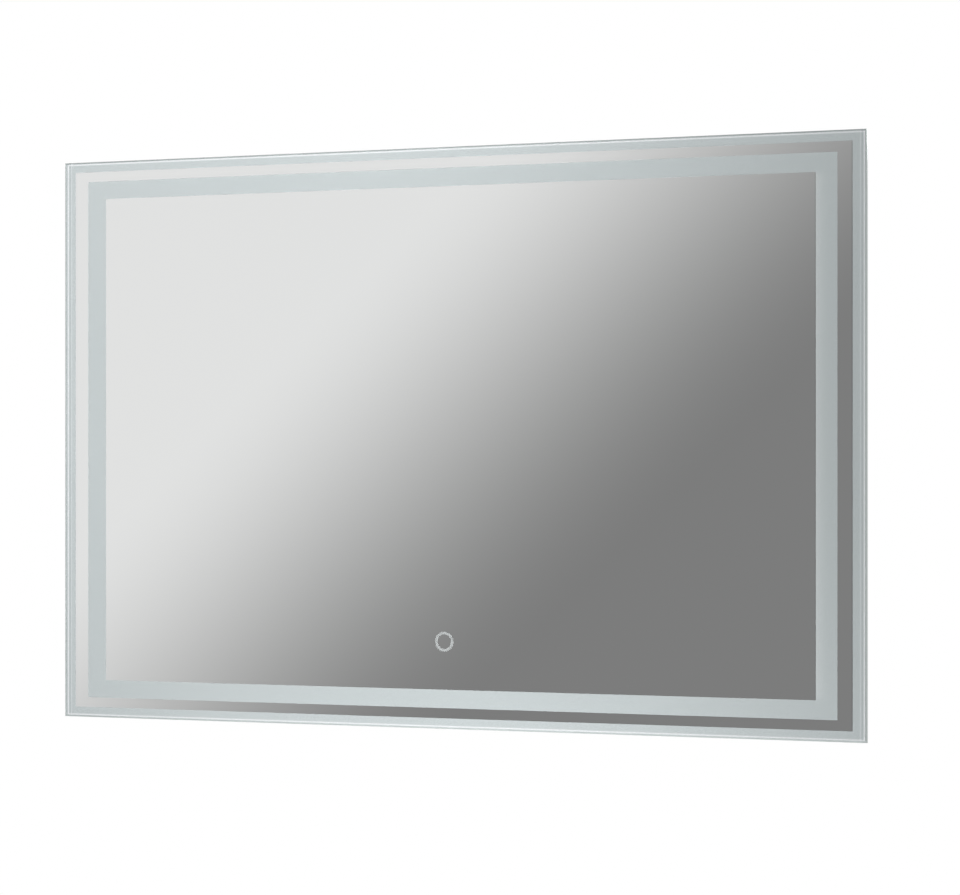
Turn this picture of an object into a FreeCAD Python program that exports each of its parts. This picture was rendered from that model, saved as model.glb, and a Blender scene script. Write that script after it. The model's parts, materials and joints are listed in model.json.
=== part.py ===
"""Lighted bathroom mirror: a frameless glass pane with two sandblasted bands, bonded to a mitred light frame.

Axes: X to the viewer's right, Y from the viewer towards the wall, Z up. Millimetres.
Origin: the middle of the wall rail's row of screw holes, on the face that lies on the wall.
The wall rail stays on the wall. Everything else is one unit, which hooks over the rail and lifts off it.
"""

import FreeCAD
import Part
import math
import os

Vector = FreeCAD.Vector

# ---------------------------------------------------------------- driving sizes

# Glass pane
pane_width = 900.0
pane_height = 600.0
pane_thickness = 5.0
front_arris = 1.5  # leg of the ground bevel round the front face
back_arris = 0.8
backing_thickness = 0.1  # silver and its protective paint
frost_depth = 0.2  # sandblasted into the back of the pane

# Bands, as widths from the pane's edge inwards: at the two sides, and at the top and bottom
clear_rim = 2.5
side_outer_band = 14.0
side_strip = 15.5
side_inner_band = 22.0
level_outer_band = 11.0
level_strip = 10.5
level_inner_band = 19.0

# Touch mark
ring_height = 90.0  # of its centre above the pane's lower edge
ring_diameter = 20.6
ring_line = 2.8

# Light frame extrusion
frame_wall = 1.5
tube_width = 17.0
feed_chamber_depth = 14.0
key_chamber_depth = 8.0
web_setback = 2.5  # from the inner frosted band's inner line to the face that carries the LED bars
wing_flat = 15.5  # how far the back flange runs on past that face
wing_rise = 8.0  # height of the reflector wing that is bent forward at 45 degrees
lip_wall = 1.2
lip_hook = 0.9
mitre_gap = 0.1
bond_tape_width = 12.0
bond_tape_thickness = 1.0
tape_joint_gap = 0.5

# Corner keys
key_leg = 36.0
key_play = 0.1
key_lead_in = 1.5

# LED bars
bar_width = 10.4
bar_thickness = 1.0
bar_play = 0.2
bar_end_margin = 14.0  # from the frame's outer corner
leds_per_metre = 30
led_length = 3.5
led_width = 2.8
led_height = 0.7
led_end_margin = 8.0
feed_connector_length = 10.0
feed_connector_width = 7.6
feed_connector_height = 4.0
feed_inset = 14.0  # of the feed hole, from the frame's inner corner
corner_lead_radius = 1.0
corner_lead_overlap = 4.0
corner_lead_swing = 6.0  # how far it stands off the corner

# Wall rail and hangers
rail_hole_pitch = 150.0
rail_hole_count = 4
rail_end_margin = 25.0
rail_hole_radius = 2.75
rail_wall = 2.0
rail_foot = 14.0  # from the row of holes down to the rail's lower edge
rail_rise = 14.0  # from the row of holes up to the shelf
rail_groove = 0.6
hook_engagement = 16.0
hook_play = 0.5
hook_wall_room = 3.0
hook_headroom = 4.0
hanger_wall = 2.0
hanger_width = 60.0
hanger_base_height = 19.0
hanger_end_inset = 20.0  # from the rail's end to the hanger
hanger_flush = 2.0  # from the frame's inner face to the hanger's base
rail_to_frame = 1.5

# Driver box
box_width = 200.0
box_height = 72.0
box_below_rail = 16.0
box_wall = 2.2
box_floor = 2.0
box_corner_radius = 5.0
box_tape_thickness = 1.0
box_tape_width = 18.0
box_cover_thickness = 2.5
box_gasket_thickness = 1.0
box_boss_radius = 4.2
box_cover_pad = 0.8
board_width = 112.0
board_height = 50.0
board_thickness = 1.6
board_standoff = 4.0
standoff_radius = 2.6
board_offset = 26.0  # of the board's centre, towards the lead outlet
terminal_width = 22.0
terminal_height = 16.0
terminal_depth = 13.0
terminal_from_wall = 18.0
clamp_radius = 2.2
clamp_well = 5.0  # depth of the round wells that the clamp screws sit in
clamp_sink = 1.2
clamp_slot = 0.8
link_radius = 0.9
link_spacing = 8.0

# Cable gland, for a round mains lead
gland_barrel_radius = 8.0
gland_hex_flats = 20.0
gland_hex_thickness = 5.0
gland_nose_length = 6.5
gland_nose_radius = 7.4
gland_bore_radius = 5.2
gland_seal_radius = 3.5
gland_seal_length = 9.0
gland_dome_radius = 9.6
gland_dome_length = 11.5
gland_dome_wall = 1.6
gland_dome_rise = 3.0
gland_nut_thickness = 4.0
gland_play = 0.1

# Touch sensor
sensor_width = 48.0
sensor_height = 36.0
sensor_depth = 13.0
sensor_wall = 1.6
sensor_corner_radius = 3.0
sensor_tape_width = 4.0
sensor_tape_thickness = 0.6
diffuser_margin = 1.0
diffuser_play = 0.15
diffuser_below_case = 1.4
electrode_thickness = 0.4
electrode_pin_radius = 0.8
electrode_play = 0.5
sensor_board_thickness = 1.2
sensor_board_play = 0.4
sensor_led_size = 1.6
sensor_led_height = 0.7
sensor_terminal_length = 9.0
sensor_terminal_width = 8.0
sensor_terminal_height = 4.4
sensor_boss_radius = 2.2

# Leads held on the back of the mirror
lead_radius = 1.5
lead_hole_play = 0.1
lead_bend_share = 0.45  # of the shorter run beside a bend
lead_exit_run = 20.0  # of a lead, straight out of a housing
lead_settle_run = 60.0  # from a housing to where the lead lies on the pane's back
lead_drift = 3.0  # sideways, between a housing and the clips
feed_climb = 12.0  # of the feed lead towards the frame
feed_turn_run = 24.0  # from the feed hole to the lead's last turn
feed_settle_run = 70.0  # from the feed hole to where the lead lies on the pane's back
clip_floor = 1.0
clip_wall = 1.3
clip_length = 8.0
clip_foot_width = 14.0
clip_slot = 1.8
grommet_lip = 1.0
grommet_wall = 1.0

# Rubber bumpers
bumper_radius = 10.0
bumper_tip_radius = 8.0
bumper_floor = 3.0
bumper_from_corner = 70.0  # from the frame's inner corner

# Screws
screw_radius = 1.5
screw_head_radius = 3.0
screw_head_height = 1.8
screw_play = 0.05  # round the shank, where its thread bites
screw_hole_play = 0.25  # round the shank, where it passes freely
frame_screw_length = 9.0
cover_screw_length = 12.0
sensor_screw_radius = 0.9
sensor_screw_head_radius = 1.7
sensor_screw_length = 6.0

# Small round pieces and their holes have flat sides, with their corners on the true circle
small_sides = 8
sleeve_sides = 12
round_sides = 16

# ---------------------------------------------------------------- planes and places worked out from them

# Along Y, from the wall forwards
pocket_depth = hanger_wall + hook_play + hook_wall_room
rail_reach = pocket_depth + rail_wall
frame_depth = 3 * frame_wall + feed_chamber_depth + key_chamber_depth
y_frame_back = -(rail_reach + rail_to_frame)
y_frame_front = y_frame_back - frame_depth
y_backing = y_frame_front - bond_tape_thickness
y_pane_back = y_backing - backing_thickness
y_pane_front = y_pane_back - pane_thickness

# Insets of the lines between bands, as (at the sides, at the top and bottom)
edge_line = (clear_rim, clear_rim)
outer_band_line = (side_outer_band, level_outer_band)
strip_line = (side_outer_band + side_strip, level_outer_band + level_strip)
field_line = (strip_line[0] + side_inner_band, strip_line[1] + level_inner_band)

# Light frame, from the pane's centre. The web is the wall that carries the LED bars
web_half_width = pane_width / 2 - field_line[0] - web_setback
web_half_height = pane_height / 2 - field_line[1] - web_setback
inner_half_width = web_half_width - tube_width
inner_half_height = web_half_height - tube_width
feed_depth = frame_wall + feed_chamber_depth / 2  # of the LED bars and the feed hole, from the frame's front
key_depth = 2 * frame_wall + feed_chamber_depth  # of the key chamber's near wall
wing_tip = tube_width + wing_flat + wing_rise

# Along Z
rail_shelf_top = rail_rise
rail_lip_top = rail_shelf_top + hook_engagement
hanger_base_bottom = rail_lip_top + hook_headroom
frame_inner_top = hanger_base_bottom - hanger_flush
pane_centre_z = frame_inner_top - inner_half_height
pane_top = pane_centre_z + pane_height / 2
pane_bottom = pane_centre_z - pane_height / 2
ring_z = pane_bottom + ring_height
frame_inner_bottom = pane_centre_z - inner_half_height
web_bottom = pane_centre_z - web_half_height

# Driver box
box_top = -rail_foot - box_below_rail
box_bottom = box_top - box_height
box_z = (box_top + box_bottom) / 2
y_box_front = y_backing + box_tape_thickness
y_box_floor = y_box_front + box_floor
y_box_rim = y_frame_back - box_cover_thickness - box_gasket_thickness
y_cover = y_box_rim + box_gasket_thickness
y_board = y_box_floor + board_standoff
y_board_back = y_board + board_thickness

# Touch sensor
y_sensor_front = y_backing + sensor_tape_thickness
y_sensor_floor = y_sensor_front + sensor_wall
y_diffuser_back = y_sensor_floor + diffuser_below_case
y_sensor_board = y_diffuser_back + sensor_led_height
y_sensor_board_back = y_sensor_board + sensor_board_thickness
y_sensor_rim = y_sensor_front + sensor_depth - sensor_wall

# Leads
lead_hole_radius = lead_radius + lead_hole_play
y_lead = y_backing + clip_floor + lead_hole_radius  # of a lead's centre in the clips
y_feed = y_frame_front + feed_depth
grommet_hole_radius = lead_hole_radius + grommet_wall
grommet_lip_radius = grommet_hole_radius + grommet_lip
feed_x = -(inner_half_width - feed_inset)

# The four frame members: the angle that turns the top one into it, and its half length and offset, both at
# the inner face
members = {
    "top": (0.0, inner_half_width, inner_half_height),
    "right": (90.0, inner_half_height, inner_half_width),
    "bottom": (180.0, inner_half_width, inner_half_height),
    "left": (270.0, inner_half_height, inner_half_width),
}
corners = {
    "top_left": (-1, 1),
    "top_right": (1, 1),
    "bottom_left": (-1, -1),
    "bottom_right": (1, -1),
}


# ---------------------------------------------------------------- shapes


def block(x_span, y_span, z_span):
    """Box between two values on each axis, in either order."""
    low = Vector(min(x_span), min(y_span), min(z_span))
    high = Vector(max(x_span), max(y_span), max(z_span))
    size = high - low
    return Part.makeBox(size.x, size.y, size.z, low)


def rod(start, end, radius, sides=0):
    """Cylinder from one point to another, or a prism with that many sides."""
    length = (end - start).Length
    if sides == 0:
        return Part.makeCylinder(radius, length, start, end - start)
    corner_list = ring_of_corners(start, end - start, radius, sides)
    return Part.Face(Part.makePolygon(corner_list + corner_list[:1])).extrude(end - start)


def y_rod(x, z, y_start, y_end, radius, sides=0):
    """Rod across the mirror's depth."""
    return rod(Vector(x, y_start, z), Vector(x, y_end, z), radius, sides)


def ring_of_corners(centre, direction, radius, sides):
    """Corners of a regular polygon square to a direction. The first lies above the centre, or beside it."""
    along = Vector(direction)
    along.normalize()
    across = Vector(0, 0, 1) if abs(along.z) < 0.5 else Vector(1, 0, 0)
    across -= along * across.dot(along)
    across.normalize()
    steps = [FreeCAD.Rotation(along, 360 * step / sides) for step in range(sides)]
    return [centre + step.multVec(across) * radius for step in steps]


def union(shapes):
    """One solid from several that touch or overlap."""
    return shapes[0].multiFuse(shapes[1:]).removeSplitter() if len(shapes) > 1 else shapes[0]


def outline(corner_list, place):
    """Closed wire through the corners (u, v, radius), each rounded. place turns (u, v) into a point."""
    stops = []
    for index, (u, v, radius) in enumerate(corner_list):
        corner = Vector(u, v, 0)
        before = Vector(*corner_list[index - 1][:2], 0) - corner
        after = Vector(*corner_list[(index + 1) % len(corner_list)][:2], 0) - corner
        before.normalize()
        after.normalize()
        if radius == 0:
            stops.append((corner, corner, corner))
            continue
        half_angle = before.getAngle(after) / 2
        reach = radius / math.tan(half_angle)
        middle = before + after
        middle.normalize()
        sagitta = radius / math.sin(half_angle) - radius
        stops.append((corner + before * reach, corner + middle * sagitta, corner + after * reach))
    edges = []
    for index, (start, middle, end) in enumerate(stops):
        if start != end:
            edges.append(Part.Arc(*[place(p.x, p.y) for p in (start, middle, end)]).toShape())
        following = stops[(index + 1) % len(stops)][0]
        if (following - end).Length > 1e-6:
            edges.append(Part.LineSegment(place(end.x, end.y), place(following.x, following.y)).toShape())
    return Part.Wire(edges)


def plate(corner_list, y_start, y_end):
    """Plate across the mirror's depth, with an outline given in X and Z."""
    face = Part.Face(outline(corner_list, lambda x, z: Vector(x, y_start, z)))
    return face.extrude(Vector(0, y_end - y_start, 0))


def rounded_block(x_span, y_span, z_span, radius):
    """Box whose four edges along Y are rounded."""
    x_low, x_high = x_span
    z_low, z_high = z_span
    spots = [(x_low, z_low), (x_high, z_low), (x_high, z_high), (x_low, z_high)]
    return plate([(x, z, radius) for x, z in spots], *y_span)


def turned(profile, centre, direction, sides=0):
    """Solid about an axis, round or with that many sides. profile is (distance along the axis, radius)."""
    along = Vector(direction)
    along.normalize()
    if sides == 0:
        across = ring_of_corners(Vector(0, 0, 0), along, 1, 1)[0]
        points = [centre + along * distance + across * radius for distance, radius in profile]
        return Part.Face(Part.makePolygon(points + points[:1])).revolve(centre, along, 360)
    rings = [ring_of_corners(centre + along * distance, along, radius, sides) for distance, radius in profile]
    faces = []
    for ring, following in zip(rings, rings[1:] + rings[:1]):
        for index in range(sides):
            facet = [ring[index - 1], ring[index], following[index], following[index - 1]]
            points = [p for p, q in zip(facet, facet[1:] + facet[:1]) if (p - q).Length > 1e-6]
            if len(points) > 2:
                faces.append(Part.Face(Part.makePolygon(points + points[:1])))
    return Part.makeSolid(Part.Shell(faces)).removeSplitter()


def screw(seat, direction, length, radius=screw_radius, head_radius=screw_head_radius):
    """Pan-head screw. seat is under the head and direction is the way it is driven."""
    head = screw_head_height * head_radius / screw_head_radius
    profile = [(-head, 0), (-head, head_radius), (0, head_radius), (0, radius), (length, radius), (length, 0)]
    return turned(profile, seat, direction, small_sides)


def lead(points, radius, name, sides=small_sides):
    """Lead along straight runs joined by tangent arcs, each as large as the runs beside it allow."""
    edges = []
    here = points[0]
    bend_radii = []
    for before, corner, after in zip(points, points[1:], points[2:]):
        back = before - corner
        onward = after - corner
        shorter = min(back.Length, onward.Length)
        back.normalize()
        onward.normalize()
        half_angle = back.getAngle(onward) / 2
        reach = lead_bend_share * shorter
        bend = reach * math.tan(half_angle)
        middle = back + onward
        middle.normalize()
        start = corner + back * reach
        end = corner + onward * reach
        edges.append(Part.LineSegment(here, start).toShape())
        edges.append(Part.Arc(start, corner + middle * (bend / math.sin(half_angle) - bend), end).toShape())
        bend_radii.append(bend)
        here = end
    edges.append(Part.LineSegment(here, points[-1]).toShape())
    path = Part.Wire(edges)
    corner_list = ring_of_corners(points[0], points[1] - points[0], radius, sides)
    section = Part.Face(Part.makePolygon(corner_list + corner_list[:1]))
    tube = path.makePipe(section)
    share = tube.Volume / (section.Area * path.Length)
    print(f"{name}: length {path.Length:.0f}, tightest bend {min(bend_radii):.1f}, volume share {share:.4f}")
    return tube


def pane_block(inset, y_span):
    """Block that follows the pane's outline, drawn in by inset at its sides and at its top and bottom."""
    half_width = pane_width / 2 - inset[0]
    return block((-half_width, half_width), y_span, (pane_bottom + inset[1], pane_top - inset[1]))


def pane_loop(outer_inset, inner_inset, y_span):
    """Rectangular loop between two insets from the pane's edge."""
    return pane_block(outer_inset, y_span).cut(pane_block(inner_inset, y_span))


def ring_mark(y_start, y_end):
    """The touch mark's ring, as a short tube."""
    outer = y_rod(0, ring_z, y_start, y_end, ring_diameter / 2)
    return outer.cut(y_rod(0, ring_z, y_start, y_end, ring_diameter / 2 - ring_line))


def placed(shape, member):
    """Turns a shape made for the top member, with Z from the pane's centre, to its own side of the frame."""
    shape.rotate(Vector(0, 0, 0), Vector(0, 1, 0), members[member][0])
    shape.translate(Vector(0, 0, pane_centre_z))
    return shape


# ---------------------------------------------------------------- glass


def glass_pane():
    """Float glass with ground arrises, sandblasted from behind in two bands and the touch ring."""
    pane = pane_block((0, 0), (y_pane_front, y_pane_back))
    front_edges = [e for e in pane.Edges if abs(e.BoundBox.YMax - y_pane_front) < 0.01]
    pane = pane.makeChamfer(front_arris, front_edges)
    back_edges = [e for e in pane.Edges if abs(e.BoundBox.YMin - y_pane_back) < 0.01]
    pane = pane.makeChamfer(back_arris, back_edges)
    frosted = (y_pane_back - frost_depth, y_pane_back)
    pane = pane.cut(pane_loop(edge_line, outer_band_line, frosted))
    pane = pane.cut(pane_loop(strip_line, field_line, frosted))
    return pane.cut(ring_mark(*frosted))


def silver_layer():
    """Silver and paint: the field, open at the touch ring, the ring's island, and the narrow loop."""
    span = (y_pane_back, y_backing)
    field = pane_block(field_line, span).cut(ring_mark(*span))
    return Part.makeCompound(field.Solids + pane_loop(outer_band_line, strip_line, span).Solids)


# ---------------------------------------------------------------- light frame


def frame_section(offset, x):
    """Section of the extrusion, drawn as (outwards from the inner face, back from the front face).

    It is a tube with two chambers, a seat with hooked lips for the LED bar, and a reflector wing.
    """

    def place(outwards, depth):
        return Vector(x, y_frame_front + depth, offset + outwards)

    seat_low = feed_depth - bar_width / 2 - bar_play
    seat_high = feed_depth + bar_width / 2 + bar_play
    seat_room = bar_thickness + bar_play
    lip_reach = tube_width + seat_room + lip_wall
    wing_bend = tube_width + wing_flat
    wing_inset = frame_wall * math.tan(math.radians(22.5))
    wing_step = frame_wall * math.sin(math.radians(45))
    boundary = [
        (0, 0),
        (tube_width, 0),
        (tube_width, seat_low - lip_wall),
        (lip_reach, seat_low - lip_wall),
        (lip_reach, seat_low + lip_hook),
        (tube_width + seat_room, seat_low + lip_hook),
        (tube_width + seat_room, seat_low),
        (tube_width, seat_low),
        (tube_width, seat_high),
        (tube_width + seat_room, seat_high),
        (tube_width + seat_room, seat_high - lip_hook),
        (lip_reach, seat_high - lip_hook),
        (lip_reach, seat_high + lip_wall),
        (tube_width, seat_high + lip_wall),
        (tube_width, frame_depth - frame_wall),
        (wing_bend - wing_inset, frame_depth - frame_wall),
        (wing_tip - wing_step, frame_depth - wing_rise - wing_step),
        (wing_tip, frame_depth - wing_rise),
        (wing_bend, frame_depth),
        (0, frame_depth),
    ]
    section = Part.Face(outline([(u, v, 0) for u, v in boundary], place))
    chamber_high = tube_width - frame_wall
    feed_chamber = (frame_wall, frame_wall + feed_chamber_depth)
    key_chamber = (key_depth, key_depth + key_chamber_depth)
    for near, far in (feed_chamber, key_chamber):
        room = [(frame_wall, near, 0), (chamber_high, near, 0), (chamber_high, far, 0), (frame_wall, far, 0)]
        section = section.cut(Part.Face(outline(room, place)))
    return section


def frame_member(member):
    """One side of the light frame, mitred at both ends."""
    _, half_length, offset = members[member]
    reach = half_length + wing_tip
    bar = frame_section(offset, -reach).extrude(Vector(2 * reach, 0, 0))
    short = half_length - mitre_gap / 2
    long = short + wing_tip
    mitred = [(-short, offset), (short, offset), (long, offset + wing_tip), (-long, offset + wing_tip)]
    wedge = plate([(x, z, 0) for x, z in mitred], y_frame_front, y_frame_back)
    return placed(bar.common(wedge), member)


def key_screw_seats():
    """Where the corner key screws' heads sit: two at each corner, on the middle line of the tubes."""
    middle = tube_width / 2
    half_leg = key_leg / 2
    seats = []
    for sign_x, sign_z in corners.values():
        for along_x, along_z in ((-half_leg, middle), (middle, -half_leg)):
            x = sign_x * (inner_half_width + along_x)
            z = pane_centre_z + sign_z * (inner_half_height + along_z)
            seats.append(Vector(x, y_frame_back, z))
    return seats


def hanger_screw_seats():
    """Where the hangers' screws go through the frame's back flange: two in each hanger."""
    centre = hanger_centre_x()
    z = frame_inner_top + tube_width / 2
    spots = [sign * centre + side * hanger_width / 3 for sign in (-1, 1) for side in (-1, 1)]
    return [Vector(x, y_frame_back, z) for x in spots]


def bumper_spots():
    """Middle of each bumper on the bottom member."""
    x = inner_half_width - bumper_from_corner
    z = frame_inner_bottom - tube_width / 2
    return [Vector(sign * x, y_frame_back, z) for sign in (-1, 1)]


def frame_with_holes(member):
    """A member with the screw holes in its back flange, and on the bottom one the feed hole."""
    bar = frame_member(member)
    freely = screw_radius + screw_hole_play
    biting = screw_radius + screw_play
    flange = (y_frame_back - frame_wall, y_frame_back)
    holes = [y_rod(seat.x, seat.z, *flange, freely, small_sides) for seat in key_screw_seats()]
    if member == "top":
        holes += [y_rod(seat.x, seat.z, *flange, biting, small_sides) for seat in hanger_screw_seats()]
    if member == "bottom":
        holes += [y_rod(spot.x, spot.z, *flange, biting, small_sides) for spot in bumper_spots()]
        inner_wall_end = frame_inner_bottom - frame_wall
        start = Vector(feed_x, y_feed, frame_inner_bottom)
        holes.append(rod(start, Vector(feed_x, y_feed, inner_wall_end), grommet_hole_radius, sleeve_sides))
        holes.append(rod(start, Vector(feed_x, y_feed, web_bottom), lead_hole_radius, sleeve_sides))
    for hole in holes:
        if bar.BoundBox.intersect(hole.BoundBox):
            bar = bar.cut(hole)
    return bar


def corner_key(sign_x, sign_z):
    """Cast L-shaped key that fills the ends of two members' key chambers."""
    low = frame_wall + key_play
    high = tube_width - frame_wall - key_play
    ends = key_lead_in
    along = [
        (-key_leg, low + ends),
        (-key_leg, high - ends),
        (-key_leg + ends, high),
        (high - ends, high),
        (high, high - ends),
        (high, -key_leg + ends),
        (high - ends, -key_leg),
        (low + ends, -key_leg),
        (low, -key_leg + ends),
        (low, low),
        (-key_leg + ends, low),
    ]
    spots = []
    for out_x, out_z in along:
        x = sign_x * (inner_half_width + out_x)
        spots.append((x, pane_centre_z + sign_z * (inner_half_height + out_z), 0))
    y_near = y_frame_front + key_depth + key_play
    y_far = y_frame_front + key_depth + key_chamber_depth - key_play
    key = plate(spots, y_near, y_far)
    for seat in key_screw_seats():
        hole = y_rod(seat.x, seat.z, y_near, y_far, screw_radius + screw_play, small_sides)
        if key.BoundBox.intersect(hole.BoundBox):
            key = key.cut(hole)
    return key


def bond_tape(member):
    """Foam tape between a member and the pane. Two run to the corners, the others between them."""
    _, half_length, offset = members[member]
    low = (tube_width - bond_tape_width) / 2
    high = low + bond_tape_width
    half_tape = half_length + high if member in ("top", "bottom") else half_length + low - tape_joint_gap
    tape = block((-half_tape, half_tape), (y_backing, y_frame_front), (offset + low, offset + high))
    return placed(tape, member)


# ---------------------------------------------------------------- LED bars


def bar_span(member):
    """Ends of a member's LED bar, along the member. The bottom one stops at the feed connector."""
    half_length = members[member][1] + tube_width - bar_end_margin
    if member == "bottom":
        return (-half_length, -feed_x - feed_connector_length / 2)
    return (-half_length, half_length)


def led_bar(member):
    """Aluminium-backed circuit board, slid under the seat's two lips."""
    seat = members[member][2] + tube_width
    y_span = (y_feed - bar_width / 2, y_feed + bar_width / 2)
    return placed(block(bar_span(member), y_span, (seat, seat + bar_thickness)), member)


def led_packages(member):
    """Row of LED packages, evenly spaced about the bar's middle."""
    low, high = bar_span(member)
    pitch = 1000 / leds_per_metre
    count = int((high - low - 2 * led_end_margin) / pitch) + 1
    on_bar = members[member][2] + tube_width + bar_thickness
    packages = []
    for index in range(count):
        x = (low + high) / 2 + (index - (count - 1) / 2) * pitch
        x_span = (x - led_length / 2, x + led_length / 2)
        y_span = (y_feed - led_width / 2, y_feed + led_width / 2)
        packages.append(block(x_span, y_span, (on_bar, on_bar + led_height)))
    return placed(Part.makeCompound(packages), member)


def corner_lead(corner):
    """Two-core lead from the end of one LED bar round the frame's corner to the next bar."""
    sign_x, sign_z = corners[corner]
    on_bar = bar_thickness + corner_lead_radius
    start = -bar_end_margin - corner_lead_overlap
    swing = corner_lead_swing
    route = [(start, on_bar), (-swing / 3, swing), (swing, -swing / 3), (on_bar, start)]
    points = [
        Vector(
            sign_x * (web_half_width + p),
            y_feed,
            pane_centre_z + sign_z * (web_half_height + q),
        )
        for p, q in route
    ]
    return lead(points, corner_lead_radius, f"corner lead {corner}", small_sides - 2)


def feed_connector():
    """Push-in connector over the feed hole, butted against the bottom bar's end."""
    x_span = (feed_x - feed_connector_length / 2, feed_x + feed_connector_length / 2)
    y_span = (y_feed - feed_connector_width / 2, y_feed + feed_connector_width / 2)
    body = block(x_span, y_span, (web_bottom - feed_connector_height, web_bottom))
    step = feed_connector_height / 4
    corner_cut = block(
        (x_span[0], x_span[0] + 2 * step), y_span, (web_bottom - feed_connector_height, web_bottom - 3 * step)
    )
    return body.cut(corner_cut)


# ---------------------------------------------------------------- wall rail and hangers


def rail_length():
    return (rail_hole_count - 1) * rail_hole_pitch + 2 * rail_end_margin


def hanger_centre_x():
    return rail_length() / 2 - hanger_end_inset - hanger_width / 2


def wall_rail():
    """Extruded rail: a web screwed to the wall, a shelf, and a lip that the hangers drop behind."""
    half = rail_length() / 2
    lip_back = -pocket_depth
    section = [
        (0, -rail_foot),
        (0, rail_shelf_top),
        (lip_back, rail_shelf_top),
        (lip_back, rail_lip_top),
        (lip_back - rail_wall, rail_lip_top),
        (lip_back - rail_wall, rail_shelf_top - rail_wall),
        (-rail_wall, rail_shelf_top - rail_wall),
        (-rail_wall, -rail_foot),
    ]
    boundary = Part.makePolygon([Vector(-half, y, z) for y, z in section + section[:1]])
    rail = Part.Face(boundary).extrude(Vector(2 * half, 0, 0))
    # a shallow centring groove for the drill, along the row of holes
    groove = [(-rail_wall, rail_groove), (-rail_wall, -rail_groove), (rail_groove - rail_wall, 0)]
    cutter = Part.makePolygon([Vector(-half, y, z) for y, z in groove + groove[:1]])
    rail = rail.cut(Part.Face(cutter).extrude(Vector(2 * half, 0, 0)))
    for index in range(rail_hole_count):
        x = (index - (rail_hole_count - 1) / 2) * rail_hole_pitch
        rail = rail.cut(y_rod(x, 0, -rail_wall, 0, rail_hole_radius))
    return rail


def hanger(sign):
    """Folded bracket: a base on the frame's back, a step towards the wall, a tongue behind the rail's lip."""
    centre = sign * hanger_centre_x()
    tongue_front = -pocket_depth + hook_play
    fold = 0.9 * hanger_wall
    step_low = hanger_base_bottom
    section = [
        (y_frame_back, step_low, fold),
        (y_frame_back, step_low + hanger_base_height, 0),
        (y_frame_back + hanger_wall, step_low + hanger_base_height, 0),
        (y_frame_back + hanger_wall, step_low + hanger_wall, 0),
        (tongue_front + hanger_wall, step_low + hanger_wall, fold),
        (tongue_front + hanger_wall, rail_shelf_top, 0),
        (tongue_front, rail_shelf_top, 0),
        (tongue_front, step_low, 0),
    ]
    start = centre - hanger_width / 2
    boundary = outline(section, lambda y, z: Vector(start, y, z))
    bracket = Part.Face(boundary).extrude(Vector(hanger_width, 0, 0))
    for seat in hanger_screw_seats():
        freely = screw_radius + screw_hole_play
        hole = y_rod(seat.x, seat.z, y_frame_back, y_frame_back + hanger_wall, freely, small_sides)
        if bracket.BoundBox.intersect(hole.BoundBox):
            bracket = bracket.cut(hole)
    return bracket


def bumpers():
    """Two tapered rubber bumpers that reach the wall, with the screw head sunk inside."""
    pieces = []
    for spot in bumper_spots():
        height = -y_frame_back
        well = screw_head_radius + 2 * screw_hole_play
        freely = screw_radius + screw_hole_play
        profile = [
            (0, freely),
            (0, bumper_radius),
            (height - 1, bumper_tip_radius),
            (height, bumper_tip_radius - 1),
            (height, well),
            (bumper_floor, well),
            (bumper_floor, freely),
        ]
        pieces.append(turned(profile, spot, Vector(0, 1, 0), round_sides))
    return Part.makeCompound(pieces)


# ---------------------------------------------------------------- driver box


def box_boss_spots():
    """Corner bosses that take the cover's screws, clear of the rounded corners."""
    inset = box_wall + box_boss_radius * 0.8
    x = box_width / 2 - inset
    z = box_height / 2 - inset
    return [(sign_x * x, box_z + sign_z * z) for sign_x, sign_z in corners.values()]


def standoff_spots():
    """Posts under the driver board's corners."""
    x = board_width / 2 - 2 * standoff_radius
    z = board_height / 2 - 2 * standoff_radius
    return [(board_offset + sign_x * x, box_z + sign_z * z) for sign_x, sign_z in corners.values()]


def box_room(inset, y_span):
    """The box's outline drawn in by inset. Its corners are round outside, and square inside the wall."""
    half_width = box_width / 2 - inset
    radius = box_corner_radius - inset if inset < box_wall / 2 else 0
    z_span = (box_bottom + inset, box_top - inset)
    return rounded_block((-half_width, half_width), y_span, z_span, radius)


def outlet_x():
    """Where the lead to the sensor leaves the driver box."""
    return board_offset + board_width / 4


def y_outlet():
    return y_board_back + sensor_terminal_height / 2


def driver_box_base():
    """Moulded tray with screw bosses, board posts, the gland's hole and the lead outlet."""
    base = box_room(0, (y_box_front, y_box_rim)).cut(box_room(box_wall, (y_box_floor, y_box_rim)))
    inside = box_room(box_wall * 0.7, (y_box_front, y_box_rim))
    bosses = [y_rod(x, z, y_box_floor, y_box_rim, box_boss_radius, small_sides) for x, z in box_boss_spots()]
    bosses = [boss.common(inside) for boss in bosses]
    posts = [y_rod(x, z, y_box_floor, y_board, standoff_radius, small_sides) for x, z in standoff_spots()]
    base = union([base] + bosses + posts)
    for x, z in box_boss_spots():
        depth = cover_screw_length - box_cover_thickness - box_gasket_thickness + 1
        base = base.cut(y_rod(x, z, y_box_rim - depth, y_box_rim, screw_radius + screw_play, small_sides))
    wall_out = -box_width / 2
    gland_start = Vector(wall_out, gland_y(), box_z)
    gland_end = gland_start + Vector(box_wall, 0, 0)
    base = base.cut(rod(gland_start, gland_end, gland_barrel_radius + gland_play, round_sides))
    outlet_start = Vector(outlet_x(), y_outlet(), box_bottom)
    outlet_end = outlet_start + Vector(0, 0, box_wall)
    return base.cut(rod(outlet_start, outlet_end, grommet_hole_radius, sleeve_sides))


def driver_box_gasket():
    """Flat rubber loop on the tray's rim, outside the bosses' screws."""
    span = (y_box_rim, y_cover)
    margin = box_wall * 0.15
    return box_room(margin, span).cut(box_room(box_wall * 0.95, span))


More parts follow.
